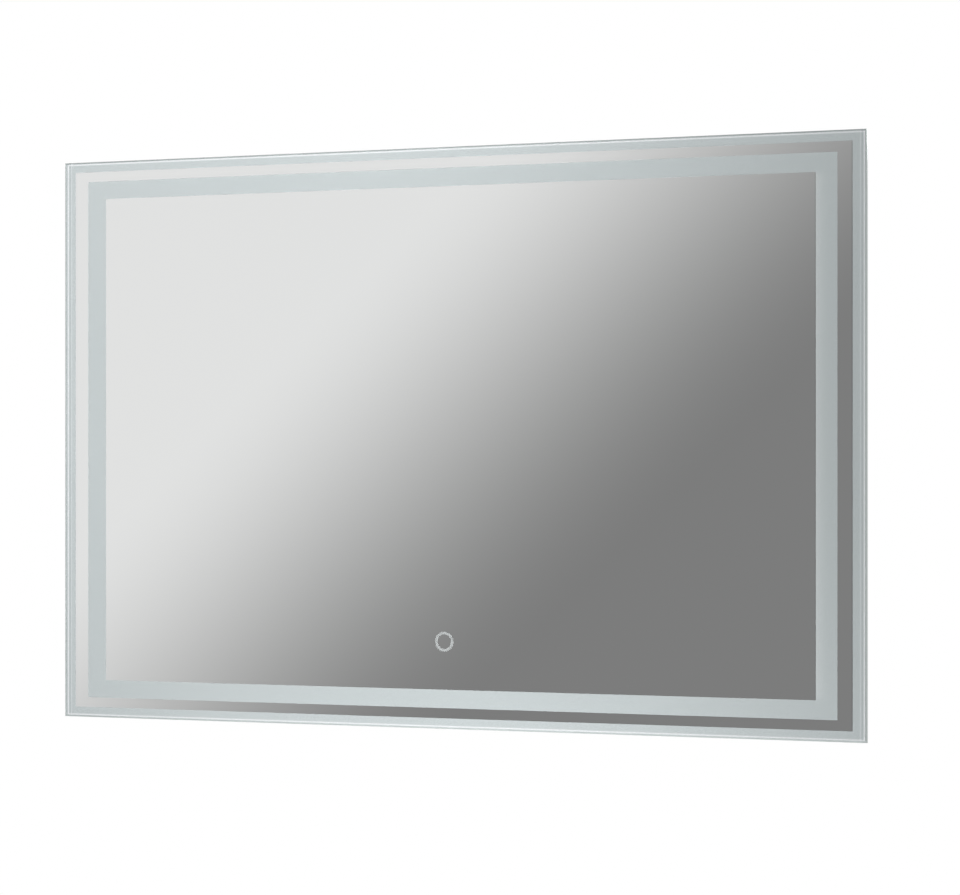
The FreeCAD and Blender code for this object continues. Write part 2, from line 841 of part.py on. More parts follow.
def driver_box_cover():
    """Flat cover with a raised pad that stiffens it, and sunk seats for its screws."""
    y_back = y_cover + box_cover_thickness
    cover = box_room(0, (y_cover, y_back - box_cover_pad))
    pad = box_room(2.5 * box_boss_radius, (y_back - box_cover_pad, y_back))
    cover = union([cover, pad])
    for x, z in box_boss_spots():
        cover = cover.cut(y_rod(x, z, y_cover, y_back, screw_radius + screw_hole_play, small_sides))
    return cover


def driver_box_tapes():
    """Two pads of foam tape that hold the tray on the back of the pane."""
    half_width = box_width / 2 - box_corner_radius
    pads = []
    for low in (box_bottom + box_corner_radius, box_top - box_corner_radius - box_tape_width):
        pads.append(block((-half_width, half_width), (y_backing, y_box_front), (low, low + box_tape_width)))
    return Part.makeCompound(pads)


def driver_board():
    """Circuit board on the four posts."""
    half_width = board_width / 2
    half_height = board_height / 2
    x_span = (board_offset - half_width, board_offset + half_width)
    return block(x_span, (y_board, y_board_back), (box_z - half_height, box_z + half_height))


def component_room():
    """Free height over the driver board."""
    return y_cover - y_board_back


def driver_transformer():
    """Ferrite core with its winding showing on both flanks."""
    core_width = board_width * 0.2
    core_height = board_height * 0.5
    core_depth = component_room() - 2
    coil_width = core_width * 1.25
    x = board_offset + board_width * 0.06
    core = block(
        (x - core_width / 2, x + core_width / 2),
        (y_board_back, y_board_back + core_depth),
        (box_z - core_height / 2, box_z + core_height / 2),
    )
    y_middle = y_board_back + core_depth / 2
    coil = block(
        (x - coil_width / 2, x + coil_width / 2),
        (y_middle - core_depth * 0.3, y_middle + core_depth * 0.3),
        (box_z - core_height * 0.32, box_z + core_height * 0.32),
    )
    return union([core, coil])


def driver_capacitors():
    """Electrolytic cans standing on the board."""
    radius = board_height * 0.11
    depth = component_room() - 3
    spots = [(-0.38, 0.2), (-0.38, -0.16), (0.36, 0.24)]
    cans = []
    for share_x, share_z in spots:
        x = board_offset + share_x * board_width
        z = box_z + share_z * board_height
        cans.append(y_rod(x, z, y_board_back, y_board_back + depth, radius, round_sides))
    return Part.makeCompound(cans)


def driver_choke():
    """Ring core choke lying on the board."""
    radius = board_height * 0.15
    depth = component_room() * 0.5
    x = board_offset - board_width * 0.2
    z = box_z + board_height * 0.22
    outer = y_rod(x, z, y_board_back, y_board_back + depth, radius, round_sides)
    return outer.cut(y_rod(x, z, y_board_back, y_board_back + depth, radius * 0.45, round_sides))


def output_connector():
    """Low-voltage connector on the board's lower edge, over the lead outlet."""
    low = box_z - board_height / 2
    half = sensor_terminal_length / 2
    x = outlet_x()
    y_span = (y_board_back, y_board_back + sensor_terminal_height)
    return block((x - half, x + half), y_span, (low, low + sensor_terminal_width))


def terminal_x():
    """Middle of the mains terminal block."""
    return -box_width / 2 + box_wall + terminal_from_wall + terminal_width / 2


def mains_poles():
    """Heights of the two mains poles."""
    return [box_z - link_spacing / 2, box_z + link_spacing / 2]


def clamp_spots():
    """Where the terminal block's four clamp screws stand."""
    return [(terminal_x() + side * terminal_width / 4, z) for z in mains_poles() for side in (-1, 1)]


def y_link():
    return y_board_back + link_radius


def terminal_block():
    """Two-pole screw terminal block on the tray's floor."""
    x = terminal_x()
    x_span = (x - terminal_width / 2, x + terminal_width / 2)
    y_span = (y_box_floor, y_box_floor + terminal_depth)
    body = block(x_span, y_span, (box_z - terminal_height / 2, box_z + terminal_height / 2))
    y_top = y_span[1]
    for spot_x, z in clamp_spots():
        well = y_rod(spot_x, z, y_top - clamp_well, y_top, clamp_radius + screw_play, small_sides)
        body = body.cut(well)
    return body


def terminal_screws():
    """Four clamp screws, sunk into the terminal block."""
    y_top = y_box_floor + terminal_depth
    y_head = y_top - clamp_sink
    screws = []
    for x, z in clamp_spots():
        body = y_rod(x, z, y_top - clamp_well, y_head, clamp_radius, small_sides)
        x_span = (x - clamp_radius, x + clamp_radius)
        z_span = (z - clamp_slot / 2, z + clamp_slot / 2)
        screws.append(body.cut(block(x_span, (y_head - clamp_slot, y_head), z_span)))
    return Part.makeCompound(screws)


def mains_links():
    """Two short wires from the terminal block to the driver board's edge."""
    start_x = terminal_x() + terminal_width / 2
    end_x = board_offset - board_width / 2 + 3
    wires = []
    for z in mains_poles():
        wires.append(rod(Vector(start_x, y_link(), z), Vector(end_x, y_link(), z), link_radius, small_sides))
    return Part.makeCompound(wires)


# ---------------------------------------------------------------- cable gland


def gland_y():
    """The gland sits midway between the tray's floor and its rim."""
    return (y_box_floor + y_box_rim) / 2


def gland_point(outwards):
    """Point on the gland's axis, measured outwards from the box's wall."""
    return Vector(-box_width / 2 - outwards, gland_y(), box_z)


def gland_body():
    """Barrel through the box's wall, a hexagon against it, and a nose that holds the seal."""
    inner_end = -box_wall - gland_nut_thickness - 1
    nose_end = gland_hex_thickness + gland_nose_length
    hex_end = gland_hex_thickness
    flange = rod(gland_point(0), gland_point(hex_end), gland_hex_flats / math.sqrt(3), 6)
    barrel = rod(gland_point(inner_end), gland_point(0), gland_barrel_radius, round_sides)
    nose = rod(gland_point(hex_end), gland_point(nose_end), gland_nose_radius, round_sides)
    body = union([flange, barrel, nose])
    pocket_radius = seal_outer_radius() + gland_play
    bore = rod(gland_point(inner_end), gland_point(nose_end), gland_bore_radius, round_sides)
    pocket = rod(gland_point(gland_seal_start()), gland_point(nose_end), pocket_radius, round_sides)
    return body.cut(bore).cut(pocket)


def gland_seal_start():
    """The seal starts a little way into the nose and ends against the dome nut."""
    return gland_hex_thickness + gland_dome_length - gland_dome_wall - gland_seal_length


def seal_outer_radius():
    return (gland_bore_radius + gland_nose_radius) / 2


def gland_seal():
    """Rubber sleeve that the dome nut squeezes onto the lead."""
    start = gland_seal_start()
    end = start + gland_seal_length
    sleeve = rod(gland_point(start), gland_point(end), seal_outer_radius(), round_sides)
    return sleeve.cut(rod(gland_point(start), gland_point(end), gland_seal_radius))


def gland_dome_nut():
    """Domed nut over the nose, open at its end for the lead."""
    start = gland_hex_thickness + gland_play
    end = gland_hex_thickness + gland_dome_length
    mouth = gland_bore_radius
    inside = gland_nose_radius + gland_play
    outside = gland_dome_radius
    profile = [
        (start, inside),
        (start, outside),
        (end - gland_dome_rise, outside),
        (end, outside - gland_dome_rise),
        (end, mouth),
        (end - gland_dome_wall, mouth),
        (end - gland_dome_wall, inside),
    ]
    return turned(profile, gland_point(0), Vector(-1, 0, 0), round_sides)


def gland_lock_nut():
    """Thin hexagonal nut inside the box."""
    start = gland_point(-box_wall)
    end = gland_point(-box_wall - gland_nut_thickness)
    nut = rod(start, end, gland_hex_flats / math.sqrt(3), 6)
    return nut.cut(rod(start, end, gland_barrel_radius + gland_play, round_sides))


# ---------------------------------------------------------------- touch sensor


def sensor_room(inset, y_span):
    """The sensor case's outline drawn in by inset, with square corners inside the wall."""
    half_width = sensor_width / 2 - inset
    half_height = sensor_height / 2 - inset
    radius = sensor_corner_radius if inset == 0 else 0
    z_span = (ring_z - half_height, ring_z + half_height)
    return rounded_block((-half_width, half_width), y_span, z_span, radius)


def diffuser_radius():
    return ring_diameter / 2 + diffuser_margin


def electrode_radius():
    return ring_diameter / 2 - ring_line - 1.0


def sensor_boss_spots():
    """Two bosses on the case's middle line, beside the ring."""
    x = sensor_width / 2 - sensor_wall - sensor_boss_radius * 0.8
    return [(sign * x, ring_z) for sign in (-1, 1)]


def sensor_bosses(y_span, radius):
    return [y_rod(x, z, *y_span, radius, small_sides) for x, z in sensor_boss_spots()]


def sensor_lead_x():
    return sensor_width / 5


def sensor_lead_z():
    """Height at which the feed lead leaves the case's side."""
    return ring_z - sensor_height / 4


def y_sensor_lead():
    return y_sensor_board_back + sensor_terminal_height / 2


def sensor_case():
    """Moulded tray, open to the back, with a round window for the ring diffuser."""
    room = (y_sensor_floor, y_sensor_rim)
    case = sensor_room(0, (y_sensor_front, y_sensor_rim)).cut(sensor_room(sensor_wall, room))
    inside = sensor_room(sensor_wall * 0.7, room)
    case = union([case] + [boss.common(inside) for boss in sensor_bosses(room, sensor_boss_radius)])
    pilot_depth = sensor_screw_length - sensor_wall + 0.8
    for pilot in sensor_bosses((y_sensor_rim - pilot_depth, y_sensor_rim), sensor_screw_radius + screw_play):
        case = case.cut(pilot)
    window_radius = diffuser_radius() + diffuser_play
    case = case.cut(y_rod(0, ring_z, y_sensor_front, y_sensor_floor, window_radius, 2 * round_sides))
    top = Vector(sensor_lead_x(), y_sensor_lead(), ring_z + sensor_height / 2)
    case = case.cut(rod(top, top - Vector(0, 0, sensor_wall), lead_hole_radius, sleeve_sides))
    side = Vector(-sensor_width / 2, y_sensor_lead(), sensor_lead_z())
    return case.cut(rod(side, side + Vector(sensor_wall, 0, 0), lead_hole_radius, sleeve_sides))


def sensor_tape():
    """Loop of adhesive foam between the sensor case and the back of the pane."""
    span = (y_backing, y_sensor_front)
    return sensor_room(0.5, span).cut(sensor_room(0.5 + sensor_tape_width, span))


def ring_diffuser():
    """Opal ring behind the touch mark, with a flange that keeps it in the case's window."""
    bore = electrode_radius() + electrode_play
    window_depth = y_sensor_floor - y_backing
    depth = y_diffuser_back - y_backing
    profile = [
        (0, bore),
        (0, diffuser_radius()),
        (window_depth, diffuser_radius()),
        (window_depth, diffuser_radius() + diffuser_margin),
        (depth, diffuser_radius() + diffuser_margin),
        (depth, bore),
    ]
    return turned(profile, Vector(0, y_backing, ring_z), Vector(0, 1, 0), 2 * round_sides)


def sense_electrode():
    """Brass disc on the back of the pane, with the pin that carries its signal to the board."""
    pin = electrode_pin_radius
    disc = electrode_radius()
    profile = [
        (0, 0),
        (0, disc),
        (electrode_thickness, disc),
        (electrode_thickness, pin),
        (y_sensor_board - y_backing, pin),
        (y_sensor_board - y_backing, 0),
    ]
    return turned(profile, Vector(0, y_backing, ring_z), Vector(0, 1, 0), round_sides)


def sensor_board():
    """Touch controller board, with notches round the two bosses."""
    board = sensor_room(sensor_wall + sensor_board_play, (y_sensor_board, y_sensor_board_back))
    for notch in sensor_bosses((y_sensor_board, y_sensor_board_back), sensor_boss_radius + sensor_board_play):
        board = board.cut(notch)
    return board


def sensor_leds():
    """Four small LEDs on the board's front, under the ring."""
    reach = ring_diameter / 2 - ring_line / 2
    half = sensor_led_size / 2
    leds = []
    for step in range(4):
        angle = math.radians(45 + 90 * step)
        x = reach * math.cos(angle)
        z = ring_z + reach * math.sin(angle)
        leds.append(block((x - half, x + half), (y_diffuser_back, y_sensor_board), (z - half, z + half)))
    return Part.makeCompound(leds)


def sensor_terminals():
    """Two lead connectors and the controller chip on the board's back."""
    y_span = (y_sensor_board_back, y_sensor_board_back + sensor_terminal_height)
    long_half = sensor_terminal_length / 2
    gap = 2 * sensor_wall
    top = ring_z + sensor_height / 2 - sensor_wall - gap
    x = sensor_lead_x()
    supply = block((x - long_half, x + long_half), y_span, (top - sensor_terminal_width / 2, top))
    side = -sensor_width / 2 + sensor_wall + gap
    z = sensor_lead_z()
    output = block((side, side + sensor_terminal_width / 2), y_span, (z - long_half, z + long_half))
    chip_half = sensor_terminal_width / 2
    chip = block(
        (x - chip_half, x + chip_half),
        (y_sensor_board_back, y_sensor_board_back + sensor_terminal_height / 3),
        (ring_z - sensor_height / 4 - chip_half / 2, ring_z - sensor_height / 4 + chip_half / 2),
    )
    return Part.makeCompound([supply, output, chip])


def sensor_cover():
    """Back cover of the sensor case."""
    y_span = (y_sensor_rim, y_sensor_rim + sensor_wall)
    cover = sensor_room(0, y_span)
    for hole in sensor_bosses(y_span, sensor_screw_radius + screw_hole_play):
        cover = cover.cut(hole)
    return cover


# ---------------------------------------------------------------- leads, clips and grommets


def sensor_lead_route():
    """From the driver's output connector down the back of the pane to the sensor."""
    start = Vector(outlet_x(), y_outlet(), box_z - board_height / 2)
    sensor_top = ring_z + sensor_height / 2
    leave = Vector(outlet_x(), y_outlet(), box_bottom - lead_exit_run)
    settle = Vector(outlet_x() - lead_drift, y_lead, box_bottom - lead_settle_run)
    arrive = Vector(sensor_lead_x() + lead_drift, y_lead, sensor_top + lead_settle_run)
    rise = Vector(sensor_lead_x(), y_sensor_lead(), sensor_top + lead_exit_run)
    end = Vector(sensor_lead_x(), y_sensor_lead(), sensor_top - 3 * sensor_wall)
    return [start, leave, settle, arrive, rise, end]


def feed_lead_route():
    """From the sensor along the bottom member and through it to the feed connector."""
    z = sensor_lead_z()
    sensor_side = -sensor_width / 2
    start = Vector(sensor_side + 3 * sensor_wall, y_sensor_lead(), z)
    leave = Vector(sensor_side - lead_exit_run, y_sensor_lead(), z)
    settle = Vector(sensor_side - lead_settle_run, y_lead, z)
    arrive = Vector(feed_x + feed_settle_run, y_lead, z + feed_climb)
    rise = Vector(feed_x + feed_turn_run, y_feed, z + feed_climb)
    turn = Vector(feed_x, y_feed, z)
    end = Vector(feed_x, y_feed, web_bottom)
    return [start, leave, settle, arrive, rise, turn, end]


def clip(centre, direction):
    """Adhesive clip: a foot on the pane's back and a snap-open arch round the lead."""
    half = clip_length / 2
    outer = lead_hole_radius + clip_wall
    foot_half = clip_foot_width / 2
    start = Vector(0, y_lead, -half)
    end = Vector(0, y_lead, half)
    z_span = (-half, half)
    foot = block((-foot_half, foot_half), (y_backing, y_backing + clip_floor * 0.95), z_span)
    below = block((-outer, outer), (y_backing - outer, y_backing), z_span)
    arch = rod(start, end, outer, sleeve_sides).cut(below)
    body = union([foot, arch]).cut(rod(start, end, lead_hole_radius, sleeve_sides))
    body = body.cut(block((-clip_slot / 2, clip_slot / 2), (y_lead, y_lead + 2 * outer), z_span))
    body.rotate(Vector(0, 0, 0), Vector(0, 1, 0), math.degrees(math.atan2(direction.x, direction.z)))
    body.translate(Vector(centre.x, 0, centre.z))
    return body


def lead_clips():
    """Clips spaced along the two leads' long straight runs."""
    clips = []
    for route in (sensor_lead_route(), feed_lead_route()):
        start, end = route[2], route[3]
        for share in (0.2, 0.5, 0.8):
            clips.append(clip(start + (end - start) * share, end - start))
    return Part.makeCompound(clips)


def grommet(outer_face, inwards, wall):
    """Rubber grommet in a wall's hole: a lip on each side and a sleeve between them."""
    barrel = grommet_hole_radius - screw_play
    profile = [
        (-grommet_lip, lead_hole_radius),
        (-grommet_lip, grommet_lip_radius),
        (0, grommet_lip_radius),
        (0, barrel),
        (wall, barrel),
        (wall, grommet_lip_radius),
        (wall + grommet_lip, grommet_lip_radius),
        (wall + grommet_lip, lead_hole_radius),
    ]
    return turned(profile, outer_face, inwards, sleeve_sides)


# ---------------------------------------------------------------- screws


def frame_screws():
    """One kind of screw for the corner keys, the hangers and the bumpers, driven into the frame's back."""
    seats = key_screw_seats()
    seats += [seat + Vector(0, hanger_wall, 0) for seat in hanger_screw_seats()]
    seats += [spot + Vector(0, bumper_floor, 0) for spot in bumper_spots()]
    return Part.makeCompound([screw(seat, Vector(0, -1, 0), frame_screw_length) for seat in seats])


def cover_screws():
    y_seat = y_cover + box_cover_thickness - box_cover_pad
    seats = [Vector(x, y_seat, z) for x, z in box_boss_spots()]
    return Part.makeCompound([screw(seat, Vector(0, -1, 0), cover_screw_length) for seat in seats])


def sensor_screws():
    screws = []
    for x, z in sensor_boss_spots():
        seat = Vector(x, y_sensor_rim + sensor_wall, z)
        screws.append(
            screw(seat, Vector(0, -1, 0), sensor_screw_length, sensor_screw_radius, sensor_screw_head_radius)
        )
    return Part.makeCompound(screws)


# ---------------------------------------------------------------- nodes


def nodes():
    """Every piece under its own name."""
    pieces = {
        "wall_rail": wall_rail(),
        "glass_pane": glass_pane(),
        "silver_layer": silver_layer(),
    }
    for member in members:
        pieces[f"frame_{member}"] = frame_with_holes(member)
        pieces[f"bond_tape_{member}"] = bond_tape(member)
        pieces[f"led_bar_{member}"] = led_bar(member)
    for corner, signs in corners.items():
        pieces[f"corner_key_{corner}"] = corner_key(*signs)
        if corner != "bottom_left":
            pieces[f"corner_lead_{corner}"] = corner_lead(corner)
    outlet = Vector(outlet_x(), y_outlet(), box_bottom)
    feed_hole = Vector(feed_x, y_feed, frame_inner_bottom)
    pieces.update(
        {
            "led_packages": Part.makeCompound([led_packages(member) for member in members]),
            "frame_screws": frame_screws(),
            "feed_connector": feed_connector(),
            "hanger_left": hanger(-1),
            "hanger_right": hanger(1),
            "wall_bumpers": bumpers(),
            "driver_box_base": driver_box_base(),
            "driver_box_gasket": driver_box_gasket(),
            "driver_box_cover": driver_box_cover(),
            "driver_box_screws": cover_screws(),
            "driver_box_tapes": driver_box_tapes(),
            "driver_board": driver_board(),
            "driver_transformer": driver_transformer(),
            "driver_capacitors": driver_capacitors(),
            "driver_choke": driver_choke(),
            "output_connector": output_connector(),
            "terminal_block": terminal_block(),
            "terminal_screws": terminal_screws(),
            "mains_links": mains_links(),
            "gland_body": gland_body(),
            "gland_seal": gland_seal(),
            "gland_dome_nut": gland_dome_nut(),
            "gland_lock_nut": gland_lock_nut(),
            "sensor_case": sensor_case(),
            "sensor_tape": sensor_tape(),
            "ring_diffuser": ring_diffuser(),
            "sense_electrode": sense_electrode(),
            "sensor_board": sensor_board(),
            "sensor_leds": sensor_leds(),
            "sensor_terminals": sensor_terminals(),
            "sensor_cover": sensor_cover(),
            "sensor_screws": sensor_screws(),
            "sensor_lead": lead(sensor_lead_route(), lead_radius, "sensor lead"),
            "feed_lead": lead(feed_lead_route(), lead_radius, "feed lead"),
            "lead_clips": lead_clips(),
            "outlet_grommet": grommet(outlet, Vector(0, 0, 1), box_wall),
            "feed_grommet": grommet(feed_hole, Vector(0, 0, -1), frame_wall),
        }
    )
    return pieces


os.makedirs("parts", exist_ok=True)
pieces = nodes()
for name, shape in pieces.items():
    solids = shape.Solids
    if not solids or not shape.isValid():
        raise ValueError(f"{name} isn't a valid solid")
    shape = solids[0] if len(solids) == 1 else Part.makeCompound(solids)
    shape.exportStep(f"parts/{name}.step")
print(f"{len(pieces)} nodes written")
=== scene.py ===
"""Looks for the lighted bathroom mirror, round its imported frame. Metres, in the frame's own axes."""

import json
import math

import bmesh
import bpy
from mathutils import Matrix, Vector


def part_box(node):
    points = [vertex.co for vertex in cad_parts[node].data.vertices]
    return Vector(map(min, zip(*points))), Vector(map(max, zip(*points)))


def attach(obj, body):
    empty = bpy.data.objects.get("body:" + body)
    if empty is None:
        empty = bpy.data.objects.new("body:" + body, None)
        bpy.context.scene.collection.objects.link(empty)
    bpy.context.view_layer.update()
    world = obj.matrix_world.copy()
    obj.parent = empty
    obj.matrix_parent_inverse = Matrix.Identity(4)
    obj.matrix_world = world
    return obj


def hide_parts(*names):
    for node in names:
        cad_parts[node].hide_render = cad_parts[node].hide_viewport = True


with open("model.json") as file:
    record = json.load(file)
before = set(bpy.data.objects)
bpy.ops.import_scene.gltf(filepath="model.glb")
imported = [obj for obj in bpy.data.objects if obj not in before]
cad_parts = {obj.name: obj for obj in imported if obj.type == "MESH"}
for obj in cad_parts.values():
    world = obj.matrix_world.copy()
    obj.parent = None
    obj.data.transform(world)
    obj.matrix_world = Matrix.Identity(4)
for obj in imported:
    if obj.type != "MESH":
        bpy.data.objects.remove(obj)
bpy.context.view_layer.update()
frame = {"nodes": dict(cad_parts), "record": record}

MM = 0.001

# ---------------------------------------------------------------- sizes of the pane and its bands

pane_low, pane_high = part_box("glass_pane")
pane_centre_z = (pane_low.z + pane_high.z) / 2
pane_half_width = (pane_high.x - pane_low.x) / 2
pane_half_height = (pane_high.z - pane_low.z) / 2
pane_front = pane_low.y
pane_back = pane_high.y
front_arris = 1.5 * MM
back_arris = 0.8 * MM
frost_depth = 0.2 * MM

# Insets from the pane's edge, as (at the sides, at the top and bottom)
rim_line = (2.5 * MM, 2.5 * MM)
outer_band_line = (14.0 * MM, 11.0 * MM)
strip_line = (29.5 * MM, 21.5 * MM)
field_line = (51.5 * MM, 40.5 * MM)

ring_low, ring_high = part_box("ring_diffuser")
ring_z = (ring_low.z + ring_high.z) / 2
ring_radius = 10.3 * MM
ring_line = 2.8 * MM
ring_steps = 96
painted_glow_reach = 16.0 * MM  # reach of the painted glow: light that the field's border would throw on the frosted band beside it, painted into its colour
painted_glow_strength = 0.3

# Painted shade and highlight lines where the ground edge shows through the glass within the frosted
# margin: inset, strength and colour.
# Two of them run up the sides only, so at the top and bottom they lie off the pane.
back_shift = 1.3 * MM
line_width = 1.2 * MM
off_pane = -10 * MM
# colours of the painted shade lines and the painted highlight lines
painted_shade_line = (0.3, 0.34, 0.34, 1)
painted_highlight_line = (0.95, 0.96, 0.98, 1)
painted_edge_lines = [
    ((0.8 * MM, 0.2 * MM), 0.35, painted_shade_line),
    ((3.5 * MM, 2.7 * MM), 0.75, painted_highlight_line),
    ((5.7 * MM, off_pane), 0.25, painted_shade_line),
    ((7.4 * MM, off_pane), 0.25, painted_highlight_line),
]

# Painted shade: dark lines just outside the right-hand borders of the silver, where its edge shows
# through the glass: border and strength
painted_border_shades = [(field_line, 0.16), (outer_band_line, 0.26)]
painted_border_shade_shift = 0.4 * MM
painted_border_shade_width = 1.1 * MM
painted_border_shade_colour = (0.2, 0.23, 0.23, 1)

# ---------------------------------------------------------------- camera, solved from the pane's corners

camera_place = (1.3321, -3.0782, -0.2455)
camera_yaw = math.radians(23.05)
lens_mm = 120.64
sensor_mm = 36.0
camera_lift = 0.0279  # share of the image's width


def add_camera():
    data = bpy.data.cameras.new("photo_camera")
    data.sensor_fit = "HORIZONTAL"
    data.sensor_width = sensor_mm
    data.lens = lens_mm
    data.shift_y = camera_lift
    data.clip_end = 60.0
    camera = bpy.data.objects.new("photo_camera", data)
    camera.location = camera_place
    camera.rotation_euler = (math.pi / 2, 0, camera_yaw)
    bpy.context.scene.collection.objects.link(camera)
    bpy.context.scene.camera = camera


# ---------------------------------------------------------------- node helpers


class Nodes:
    """Short ways to build a node tree."""

    def __init__(self, tree):
        self.tree = tree

    def add(self, kind, **settings):
        node = self.tree.nodes.new(kind)
        for key, value in settings.items():
            setattr(node, key, value)
        return node

    def feed(self, socket, value):
        if isinstance(value, bpy.types.NodeSocket):
            self.tree.links.new(value, socket)
        else:
            socket.default_value = value

    def math(self, operation, *values, clamp=False):
        node = self.add("ShaderNodeMath", operation=operation, use_clamp=clamp)
        for index, value in enumerate(values):
            self.feed(node.inputs[index], value)
        return node.outputs[0]

    def remap(self, value, low, high, to_low, to_high, smooth=False):
        node = self.add("ShaderNodeMapRange", interpolation_type="SMOOTHSTEP" if smooth else "LINEAR")
        for index, entry in enumerate((value, low, high, to_low, to_high)):
            self.feed(node.inputs[index], entry)
        return node.outputs[0]

    def blend(self, share, first, second):
        node = self.add("ShaderNodeMix", data_type="RGBA")
        self.feed(node.inputs["Factor"], share)
        self.feed(node.inputs[6], first)
        self.feed(node.inputs[7], second)
        return node.outputs[2]

    def mix_shaders(self, share, first, second):
        node = self.add("ShaderNodeMixShader")
        for index, entry in enumerate((share, first, second)):
            self.feed(node.inputs[index], entry)
        return node.outputs[0]

    def place(self, stretch=(1, 1, 1)):
        coordinates = self.add("ShaderNodeTexCoord")
        mapping = self.add("ShaderNodeMapping")
        mapping.inputs["Scale"].default_value = stretch
        self.feed(mapping.inputs["Vector"], coordinates.outputs["Object"])
        return mapping.outputs[0]

    def noise(self, size, stretch=(1, 1, 1), detail=4.0, seed=0.0):
        """Noise whose patches are about size wide, in metres."""
        node = self.add("ShaderNodeTexNoise", noise_dimensions="4D")
        self.feed(node.inputs["Vector"], self.place(stretch))
        node.inputs["W"].default_value = seed
        node.inputs["Scale"].default_value = 1 / size
        node.inputs["Detail"].default_value = detail
        return node.outputs[0]

    def bump(self, height, depth, strength=1.0):
        node = self.add("ShaderNodeBump")
        node.inputs["Strength"].default_value = strength
        node.inputs["Distance"].default_value = depth
        self.feed(node.inputs["Height"], height)
        return node.outputs[0]


def new_material(name):
    """(material, its node helper, its shader)."""
    material = bpy.data.materials.new(name)
    material.use_nodes = True
    nodes = Nodes(material.node_tree)
    shader = material.node_tree.nodes["Principled BSDF"]
    return material, nodes, shader


def shade(colour, factor):
    """The colour made lighter or darker by a factor."""
    return tuple(min(1.0, part * factor) for part in colour[:3]) + (1.0,)


def surface(
    name,
    colour,
    roughness,
    roughness_swing=0.05,
    metallic=0.0,
    patch=0.03,
    tint=0.04,
    grain=0.0005,
    grain_depth=0.00002,
    stretch=(1, 1, 1),
    coat=0.0,
    specular=0.5,
):
    """Material with soft patches of colour, and a fine grain in its roughness and its bump."""
    material, nodes, shader = new_material(name)
    patches = nodes.noise(patch, seed=len(bpy.data.materials))
    fine = nodes.noise(grain, stretch, detail=6.0)
    tone = nodes.blend(patches, shade(colour, 1 - tint), shade(colour, 1 + tint))
    nodes.feed(shader.inputs["Base Color"], tone)
    low, high = roughness - roughness_swing, roughness + roughness_swing
    nodes.feed(shader.inputs["Roughness"], nodes.remap(fine, 0.3, 0.7, low, high))
    nodes.feed(shader.inputs["Normal"], nodes.bump(fine, grain_depth))
    shader.inputs["Metallic"].default_value = metallic
    shader.inputs["Coat Weight"].default_value = coat
    shader.inputs["Specular IOR Level"].default_value = specular
    return material


# ---------------------------------------------------------------- materials of the pane


def silvered_glass():
    """Silver seen through clear glass, faintly uneven, with a painted shade line at its right-hand
    borders.
    """
    material, nodes, shader = new_material("silvered_glass")
    drift = nodes.noise(0.35, detail=1.0)
    haze = nodes.noise(0.06, detail=3.0, seed=3.0)
    tone = nodes.blend(drift, (0.925, 0.935, 0.93, 1), (0.945, 0.95, 0.945, 1))
    place = PanePlace(nodes)
    # Painted shade: a dark line just outside each right-hand border of the silver
    for border, strength in painted_border_shades:
        distance, mask = place.right_border(border)
        line = place.line(nodes.math("ADD", distance, painted_border_shade_shift), painted_border_shade_width, strength)
        tone = nodes.blend(nodes.math("MULTIPLY", line, mask), tone, painted_border_shade_colour)
    nodes.feed(shader.inputs["Base Color"], tone)
    nodes.feed(shader.inputs["Roughness"], nodes.remap(haze, 0.3, 0.7, 0.008, 0.02))
    shader.inputs["Metallic"].default_value = 1.0
    return material


class PanePlace:
    """Where the shaded point lies on the pane, as sockets in metres.
    Seen through the glass, the pane's back lies shifted sideways."""

    def __init__(self, nodes, shift=0.0):
        place = nodes.add("ShaderNodeSeparateXYZ")
        nodes.feed(place.inputs[0], nodes.add("ShaderNodeTexCoord").outputs["Object"])
        self.nodes = nodes
        self.x = nodes.math("SUBTRACT", place.outputs[0], shift)
        self.aside = nodes.math("ABSOLUTE", self.x)
        self.level = nodes.math("ABSOLUTE", nodes.math("SUBTRACT", place.outputs[2], pane_centre_z))

    def within(self, inset):
        """Distance inwards from a rectangle drawn in by inset, negative outside it."""
        side = self.nodes.math("SUBTRACT", pane_half_width - inset[0], self.aside)
        level = self.nodes.math("SUBTRACT", pane_half_height - inset[1], self.level)
        return self.nodes.math("MINIMUM", side, level)

    def line(self, distance, width, strength):
        """Strength on a soft line where the distance is 0, and 0 away from it."""
        off = self.nodes.math("ABSOLUTE", distance)
        return self.nodes.remap(off, 0.0, width, strength, 0.0, smooth=True)

    def right_border(self, inset):
        """Distance to the right from an upright border, and a mask of the stretch where it runs."""
        distance = self.nodes.math("SUBTRACT", self.x, pane_half_width - inset[0])
        end = pane_half_height - inset[1]
        mask = self.nodes.remap(self.level, end - 4 * MM, end + 2 * MM, 1.0, 0.0, smooth=True)
        return distance, mask


